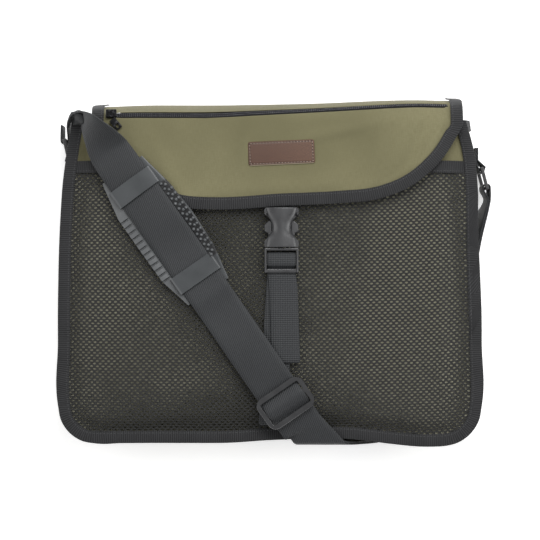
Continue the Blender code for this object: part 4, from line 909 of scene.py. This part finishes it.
def paint_rubber(own, place):
    cloud = place.noise(40.0, 3.0)
    grain = place.noise(1600.0, 2.0)
    heading = (Vector(PAD_LINE[-1]) - Vector(PAD_LINE[0])).normalized()
    east = place.part("X") - PAD_LINE[0][0]
    north = place.part("Y") - PAD_LINE[0][1]
    aside = north * heading.x - east * heading.y
    along = east * heading.x + north * heading.y
    # Painted shade: the recess round the pegs is painted near black.
    well_shade = aside.between(*WELL_ASIDE[0]) * aside.between(*WELL_ASIDE[1])
    well_shade = well_shade * along.between(*WELL_ALONG[0]) * along.between(*WELL_ALONG[1])
    colour = cloud.between(0.3, 0.7).mixed(RUBBER_DARK, RUBBER)
    # Painted highlight: the left flange's bars are painted paler than the rest of the rubber.
    colour = aside.between(*FIN_HIGHLIGHT_ASIDE).mixed(colour, FIN_PAINTED_HIGHLIGHT)
    return {"Base Color": well_shade.mixed(colour, PEG_WELL_SHADE), "Roughness": cloud * 0.2 + 0.28,
            "Specular IOR Level": 0.5, "Normal": (grain * 0.4 + cloud).bump(0.12, 0.0002)}


def paint_pegs(own, place):
    cloud = place.noise(300.0, 2.0)
    # Painted highlight: the pegs are painted paler than the pad's rubber, in patches.
    return {"Base Color": cloud.between(0.3, 0.7).mixed(RUBBER, PEG_HIGHLIGHT), "Roughness": 0.30}


rubber = finish_called("moulded_rubber", paint_rubber)
peg_painted_highlight = finish_called("peg_painted_highlight", paint_pegs)
pad = moulded("strap_pad", "rubber_pad", rubber, 0.0007)
pad_tree = surface_tree(pad.data)


def beside(line, along, aside):
    """A place that far along a line of points, and that far to its left."""
    for start, end in zip(line, line[1:]):
        way = Vector(end) - Vector(start)
        if along <= way.length or end == line[-1]:
            way.normalize()
            return Vector(start) + way * along + Vector((-way.y, way.x)) * aside
        along -= way.length


peg_places = []
for aside, start, count in PEG_ROWS:
    for place in range(count):
        spot = beside(PAD_LINE, start + place * PEG_PITCH, aside)
        high = top_of(pad_tree, spot.x, spot.y)
        if high is not None:
            peg_places.append((spot.x, spot.y, high - PEG_HIGH * PEG_SUNK))
peg_sizes = {"Radius": PEG_RADIUS, "Long": PEG_HIGH}
beaded("pad_pegs", peg_places, [], peg_painted_highlight, peg_sizes, PEG_FACES)

# The plastic fittings: a side release buckle with a ladder lock, the strap's slider and the two rings.
# All are injection moulded in dark grey acetal, with eased edges and a faint matt grain.
PLASTIC = (0.033, 0.033, 0.035, 1.0)
PLASTIC_PALE = (0.044, 0.045, 0.047, 1.0)
SLIDER_CORNER = {"across": (0.82, 0.57, 0.03), "along": (0.56, -0.80, -0.20), "radius": 0.0080}
FITTINGS = (
    ("buckle_socket", "socket_moulding", 0.0010, None), ("buckle_plug", "plug_moulding", 0.0008, None),
    ("strap_slider", "slider_moulding", 0.0004, SLIDER_CORNER),
    ("ring_left", "ring_moulding_left", 0.0007, None), ("ring_right", "ring_moulding_right", 0.0007, None),
)


def paint_plastic(own, place):
    cloud = place.noise(120.0, 3.0)
    grain = place.noise(2500.0, 2.0)
    return {"Base Color": cloud.between(0.3, 0.7).mixed(PLASTIC, PLASTIC_PALE),
            "Roughness": cloud * 0.15 + 0.22, "Specular IOR Level": 0.6,
            "Normal": (grain * 0.5 + cloud).bump(0.10, 0.0002)}


plastic = finish_called("grey_plastic", paint_plastic)
for node, name, round_by, corner in FITTINGS:
    moulded(node, name, plastic, round_by, 3, corner)

# The buckle's waisted cover: the convex upper side of the socket, which runs up under the edge of the flap.
# It is one moulding with the socket, brightest along its rim, where the edges are rounded.
COVER_MIDDLE = 0.0101
COVER_OUTLINE = (
    (0.0200, 0.0145), (0.0240, 0.0140), (0.0293, 0.0127), (0.0311, 0.0106), (0.0338, 0.0086),
    (0.0373, 0.0080), (0.0418, 0.0090), (0.0458, 0.0115), (0.0507, 0.0137), (0.0551, 0.0148),
)
COVER_ROWS = 45
COVER_SMOOTHED = 3
COVER_ACROSS = (-1.0, -0.985, -0.94, -0.86, -0.7, -0.45, -0.2, 0.0, 0.2, 0.45, 0.7, 0.86, 0.94, 0.985, 1.0)
COVER_SLOPE = (0.0240, 0.0430)
COVER_CROWN = 0.0024
COVER_RIM = 0.0016
RIM_FROM = 0.86
COVER_THICK = 0.0010
socket_tree = surface_tree(nodes["buckle_socket"].data)
low_top, high_top = (top_of(socket_tree, COVER_MIDDLE, y) for y in COVER_SLOPE)
rows = np.linspace(COVER_OUTLINE[0][0], COVER_OUTLINE[-1][0], COVER_ROWS)
wide = np.interp(rows, *zip(*COVER_OUTLINE))
for _ in range(COVER_SMOOTHED):
    wide[1:-1] = (wide[:-2] + 2 * wide[1:-1] + wide[2:]) / 4
points = []
for y, half in zip(rows, wide):
    top = low_top + (high_top - low_top) * (y - COVER_SLOPE[0]) / (COVER_SLOPE[1] - COVER_SLOPE[0])
    for share in COVER_ACROSS:
        rim = max(abs(share) - RIM_FROM, 0.0) / (1 - RIM_FROM)
        high = top + COVER_CROWN * (1 - share * share) - COVER_RIM * rim ** 3
        points.append((COVER_MIDDLE + half * share, y, high))
cover = built("socket_cover", points, [], quads(COVER_ROWS, len(COVER_ACROSS), False))
dress(walled(cover, COVER_THICK), plastic)

# The zip: a fine black coil on woven tape, sewn into the slit of the flap, with its slider at the left.
# The coil shows as two rows of small beads, painted grey over the black as painted highlights; the slider and
# its puller are black enamelled metal.
COIL_PITCH = 0.0018
COIL_LONG = 0.00092
COIL_BEAD = 0.00042
COIL_ROWS = (0.28, 0.72)
ZIP_WALLS = ((1, 2), (7, 0), (2, 3), (6, 7))
ZIP_BEYOND = 0.004
ZIP_LONGER = (0.0035, 0.0045)
ZIP_ROUND = 0.0004
ZIP_BLACK = (0.009, 0.009, 0.010, 1.0)
ZIP_GREY = (0.024, 0.024, 0.027, 1.0)
BEAD_HIGHLIGHT = (0.210, 0.210, 0.225, 1.0)
ENAMEL_WORN = (0.12, 0.12, 0.13, 1.0)
PULLER_GROWN = 1.3
PULLER_MOVED = (-0.0016, 0.0010, 0.0008)


def paint_coil(own, place):
    grain = place.noise(700.0, 2.0)
    return {"Base Color": grain.mixed(ZIP_BLACK, ZIP_GREY), "Roughness": 0.75, "Specular IOR Level": 0.15,
            "Normal": grain.bump(0.2, 0.0001)}


def paint_enamel(own, place):
    wear = place.noise(350.0, 3.0)
    return {"Base Color": wear.between(0.55, 0.8).mixed(ZIP_BLACK, ENAMEL_WORN), "Metallic": 0.6,
            "Roughness": wear * 0.2 + 0.18, "Normal": wear.bump(0.08, 0.0002)}


def paint_bead(own, place):
    grain = place.noise(500.0, 2.0)
    # Painted highlight: the black coil's beads are painted grey in patches.
    return {"Base Color": grain.between(0.3, 0.7).mixed(ZIP_GREY, BEAD_HIGHLIGHT), "Roughness": 0.35,
            "Normal": grain.bump(0.1, 0.0001)}


coil_finish = finish_called("zip_coil", paint_coil)
bead_finish = finish_called("zip_bead", paint_bead)
enamel = finish_called("black_enamel", paint_enamel)
zip_low, zip_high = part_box("flap_zip")
zip_ends = ((zip_low.x - ZIP_BEYOND, 0.137, 0.060), (zip_high.x + ZIP_BEYOND, 0.146, 0.050))
zip_rows = lengthened(turned(full_sections("flap_zip", STRIP_CORNERS, *zip_ends), ZIP_WALLS), ZIP_LONGER)
zip_places, zip_drawn = drawn_out(zip_rows, TAPE_STEP)
zip_tape = strip("zip_tape", zip_places, rounded(zip_drawn, ZIP_ROUND))
dress(zip_tape, coil_finish)
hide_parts("flap_zip")
coil_lines = [zip_drawn[:, 4] * (1 - share) + zip_drawn[:, 5] * share for share in COIL_ROWS]
sewn("zip_beads", coil_lines, bead_finish, "zip_coil", COIL_LONG, COIL_PITCH, COIL_BEAD)
moulded("zip_slider", "enamel_slider", enamel, 0.0008, 3)
puller = moulded("zip_puller", "enamel_puller", enamel, 0.0004)
spots = points_of(puller.data)
middle = (spots.min(axis=0) + spots.max(axis=0)) / 2
move_to(puller.data, middle + (spots - middle) * PULLER_GROWN + np.array(PULLER_MOVED))

# The label: a bare patch of brown leather, sewn on with one row of stitches round its edge.
# Its corners are rounded; its cut edge along the bottom carries a pale cream painted highlight, and its sewn
# groove painted shade.
LABEL_MIDDLE = (0.0100, 0.1035)
LABEL_TURN = math.radians(2.6)
LABEL_HALF = (0.0293, 0.01055)
LABEL_ROUND = 0.0019
LABEL_SEWN = 0.0016
LABEL_SEWN_ROUND = 0.0010
LABEL_STITCH = (0.00150, 0.0027, 0.00036)
LABEL_STEP = 0.0015
LABEL_DROP = 0.0004
LABEL_RINGS = ((0.0, -0.0011), (0.00012, -0.0004), (0.0005, 0.0), (0.0012, 0.00005), (0.0016, -0.00018),
               (0.0020, 0.00005), (0.0030, 0.0001))
THREAD_BROWN = (0.25, 0.18, 0.14, 1.0)
THREAD_TAN = (0.50, 0.40, 0.32, 1.0)
LEATHER = (0.108, 0.052, 0.033, 1.0)
LEATHER_DARK = (0.058, 0.028, 0.019, 1.0)
LEATHER_PALE = (0.200, 0.110, 0.070, 1.0)
GROOVE_SHADE = (0.030, 0.015, 0.012, 1.0)
CUT_EDGE_HIGHLIGHT = (0.62, 0.55, 0.42, 1.0)


def paint_leather(own, place):
    patches = own.noise(1.0, 3.0, (90.0, 160.0, 1.0))
    pores = own.noise(1.0, 3.0, (1700.0, 1700.0, 1.0))
    # Paler towards the label's right end, and in patches.
    paler_rightward = own.part("X").between(-0.012, 0.034) * 0.55 + patches * 0.45
    colour = paler_rightward.between(0.1, 0.9).mixed(LEATHER, LEATHER_PALE)
    colour = pores.between(0.62, 0.36).mixed(LEATHER_DARK, colour)
    in_x = LABEL_HALF[0] - own.part("X").maths("ABSOLUTE")
    in_y = LABEL_HALF[1] - own.part("Y").maths("ABSOLUTE")
    # Painted shade: the sewn groove is painted dark.
    groove_shade = (in_x.maths("MINIMUM", in_y) - LABEL_SEWN).maths("ABSOLUTE").between(0.00055, 0.00025)
    colour = groove_shade.mixed(colour, GROOVE_SHADE)
    # Painted highlight: the cut edge along the bottom is painted pale cream.
    low = own.part("Y").between(-LABEL_HALF[1] + 0.0006, -LABEL_HALF[1] + 0.0002)
    colour = low.mixed(colour, CUT_EDGE_HIGHLIGHT)
    return {"Base Color": colour, "Roughness": patches * 0.2 + 0.42, "Specular IOR Level": 0.4,
            "Normal": (pores + patches * 0.5).bump(0.35, 0.00022)}


def paint_label_thread(own, place):
    return {"Base Color": place.noise(1200.0, 2.0).mixed(THREAD_BROWN, THREAD_TAN), "Roughness": 0.6}


leather = finish_called("brown_leather", paint_leather)
label_thread = finish_called("label_thread", paint_label_thread)


def label_spot(east, north):
    """A place on the label, from its own middle, on the bag."""
    turn = (math.cos(LABEL_TURN), math.sin(LABEL_TURN))
    return (LABEL_MIDDLE[0] + east * turn[0] - north * turn[1],
            LABEL_MIDDLE[1] + east * turn[1] + north * turn[0])


def rounded_edge(inset, corner):
    """A rectangle with round corners, inset from the label's edge."""
    long, high = LABEL_HALF[0] - inset - corner, LABEL_HALF[1] - inset - corner
    line = []
    for quarter, (a, b) in enumerate(((1, 1), (-1, 1), (-1, -1), (1, -1))):
        for step in range(5):
            angle = math.radians(90 * quarter + 22.5 * step)
            line.append((a * long + corner * math.cos(angle), b * high + corner * math.sin(angle)))
    full = []
    for (a, b), (c, d) in zip(line, line[1:] + line[:1]):
        count = max(1, int(math.hypot(c - a, d - b) / LABEL_STEP))
        full += [(a + (c - a) * part / count, b + (d - b) * part / count) for part in range(count)]
    return full


label_tree = surface_tree(nodes["leather_label"].data)
edge = rounded_edge(0.0, LABEL_ROUND)
points = []
for inset, lift in LABEL_RINGS:
    for east, north in edge:
        a = east * (1 - inset / LABEL_HALF[0])
        b = north * (1 - inset / LABEL_HALF[1])
        near = label_spot(a * 0.985, b * 0.96)
        points.append((*label_spot(a, b), top_of(label_tree, *near) + lift))
faces = quads(len(LABEL_RINGS), len(edge))
label = built("label_leather", points, [], faces + [tuple(range(len(points) - len(edge), len(points)))])
shape = opened(label.data)
bmesh.ops.triangulate(shape, faces=[face for face in shape.faces if len(face.verts) > 4])
drop = bmesh.ops.extrude_edge_only(shape, edges=[edge for edge in shape.edges if edge.is_boundary])
for item in drop["geom"]:
    if isinstance(item, bmesh.types.BMVert):
        item.co.z -= LABEL_DROP
bmesh.ops.holes_fill(shape, edges=[edge for edge in shape.edges if edge.is_boundary], sides=0)
bmesh.ops.recalc_face_normals(shape, faces=shape.faces)
layer = shape.loops.layers.uv.new("cloth")
for face in shape.faces:
    for loop in face.loops:
        east = loop.vert.co.x - LABEL_MIDDLE[0]
        north = loop.vert.co.y - LABEL_MIDDLE[1]
        loop[layer].uv = (east * math.cos(LABEL_TURN) + north * math.sin(LABEL_TURN),
                          north * math.cos(LABEL_TURN) - east * math.sin(LABEL_TURN))
closed(shape, label.data)
dress(label, leather)
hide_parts("leather_label")
sewn_line = []
for east, north in rounded_edge(LABEL_SEWN, LABEL_SEWN_ROUND):
    x, y = label_spot(east, north)
    sewn_line.append((x, y, top_of(label_tree, x, y) + 0.00002))
sewn("label_stitches", [sewn_line + sewn_line[:1]], label_thread, "brown_leather", *LABEL_STITCH)

# The floor, the light and the camera: a pale table under soft studio lamps, seen from straight above.
# The table glows a little, to stay white in the soft light that the bag's dark cloth asks for.
TABLE_LOW = -0.0006
TABLE_WHITE = (0.93, 0.93, 0.93, 1.0)
TABLE_GLOW = 0.55
DAYLIGHT = 0.38
CAMERA_HIGH = 2.25
FRAME_WIDTH = 0.480
SEEN_AT = 0.055
LAMPS = (("top_lamp", (0.25, 0.95, 1.5), 0.9, 20.0), ("right_lamp", (1.3, 0.1, 1.2), 0.8, 8.0),
         ("left_lamp", (-1.4, 0.2, 1.5), 1.0, 7.0))


def paint_table(own, place):
    return {"Base Color": TABLE_WHITE, "Roughness": 0.9, "Specular IOR Level": 0.1,
            "Emission Color": (1.0, 1.0, 1.0, 1.0), "Emission Strength": TABLE_GLOW}


table_corners = [(x, y, TABLE_LOW) for x, y in ((-3, -3), (3, -3), (3, 3), (-3, 3))]
floor = built("table", table_corners, [], [(0, 1, 2, 3)])
floor.data.materials.append(finish_called("pale_table", paint_table))
for name, place, size, watts in LAMPS:
    lamp = bpy.data.lights.new(name, "AREA")
    lamp.size = size
    lamp.energy = watts
    holder = placed(name, lamp)
    holder.location = place
    holder.rotation_euler = Vector(place).to_track_quat("Z", "Y").to_euler()
world = bpy.data.worlds.new("studio")
world.use_nodes = True
world.node_tree.nodes["Background"].inputs["Color"].default_value = (1.0, 1.0, 1.0, 1.0)
world.node_tree.nodes["Background"].inputs["Strength"].default_value = DAYLIGHT
bpy.context.scene.world = world
bpy.context.scene.view_settings.view_transform = "Standard"
lens = bpy.data.cameras.new("camera")
lens.sensor_width = 36.0
lens.lens = lens.sensor_width * (CAMERA_HIGH - SEEN_AT) / FRAME_WIDTH
camera = placed("camera", lens)
camera.location = (0.0, 0.0, CAMERA_HIGH)
bpy.context.scene.camera = camera
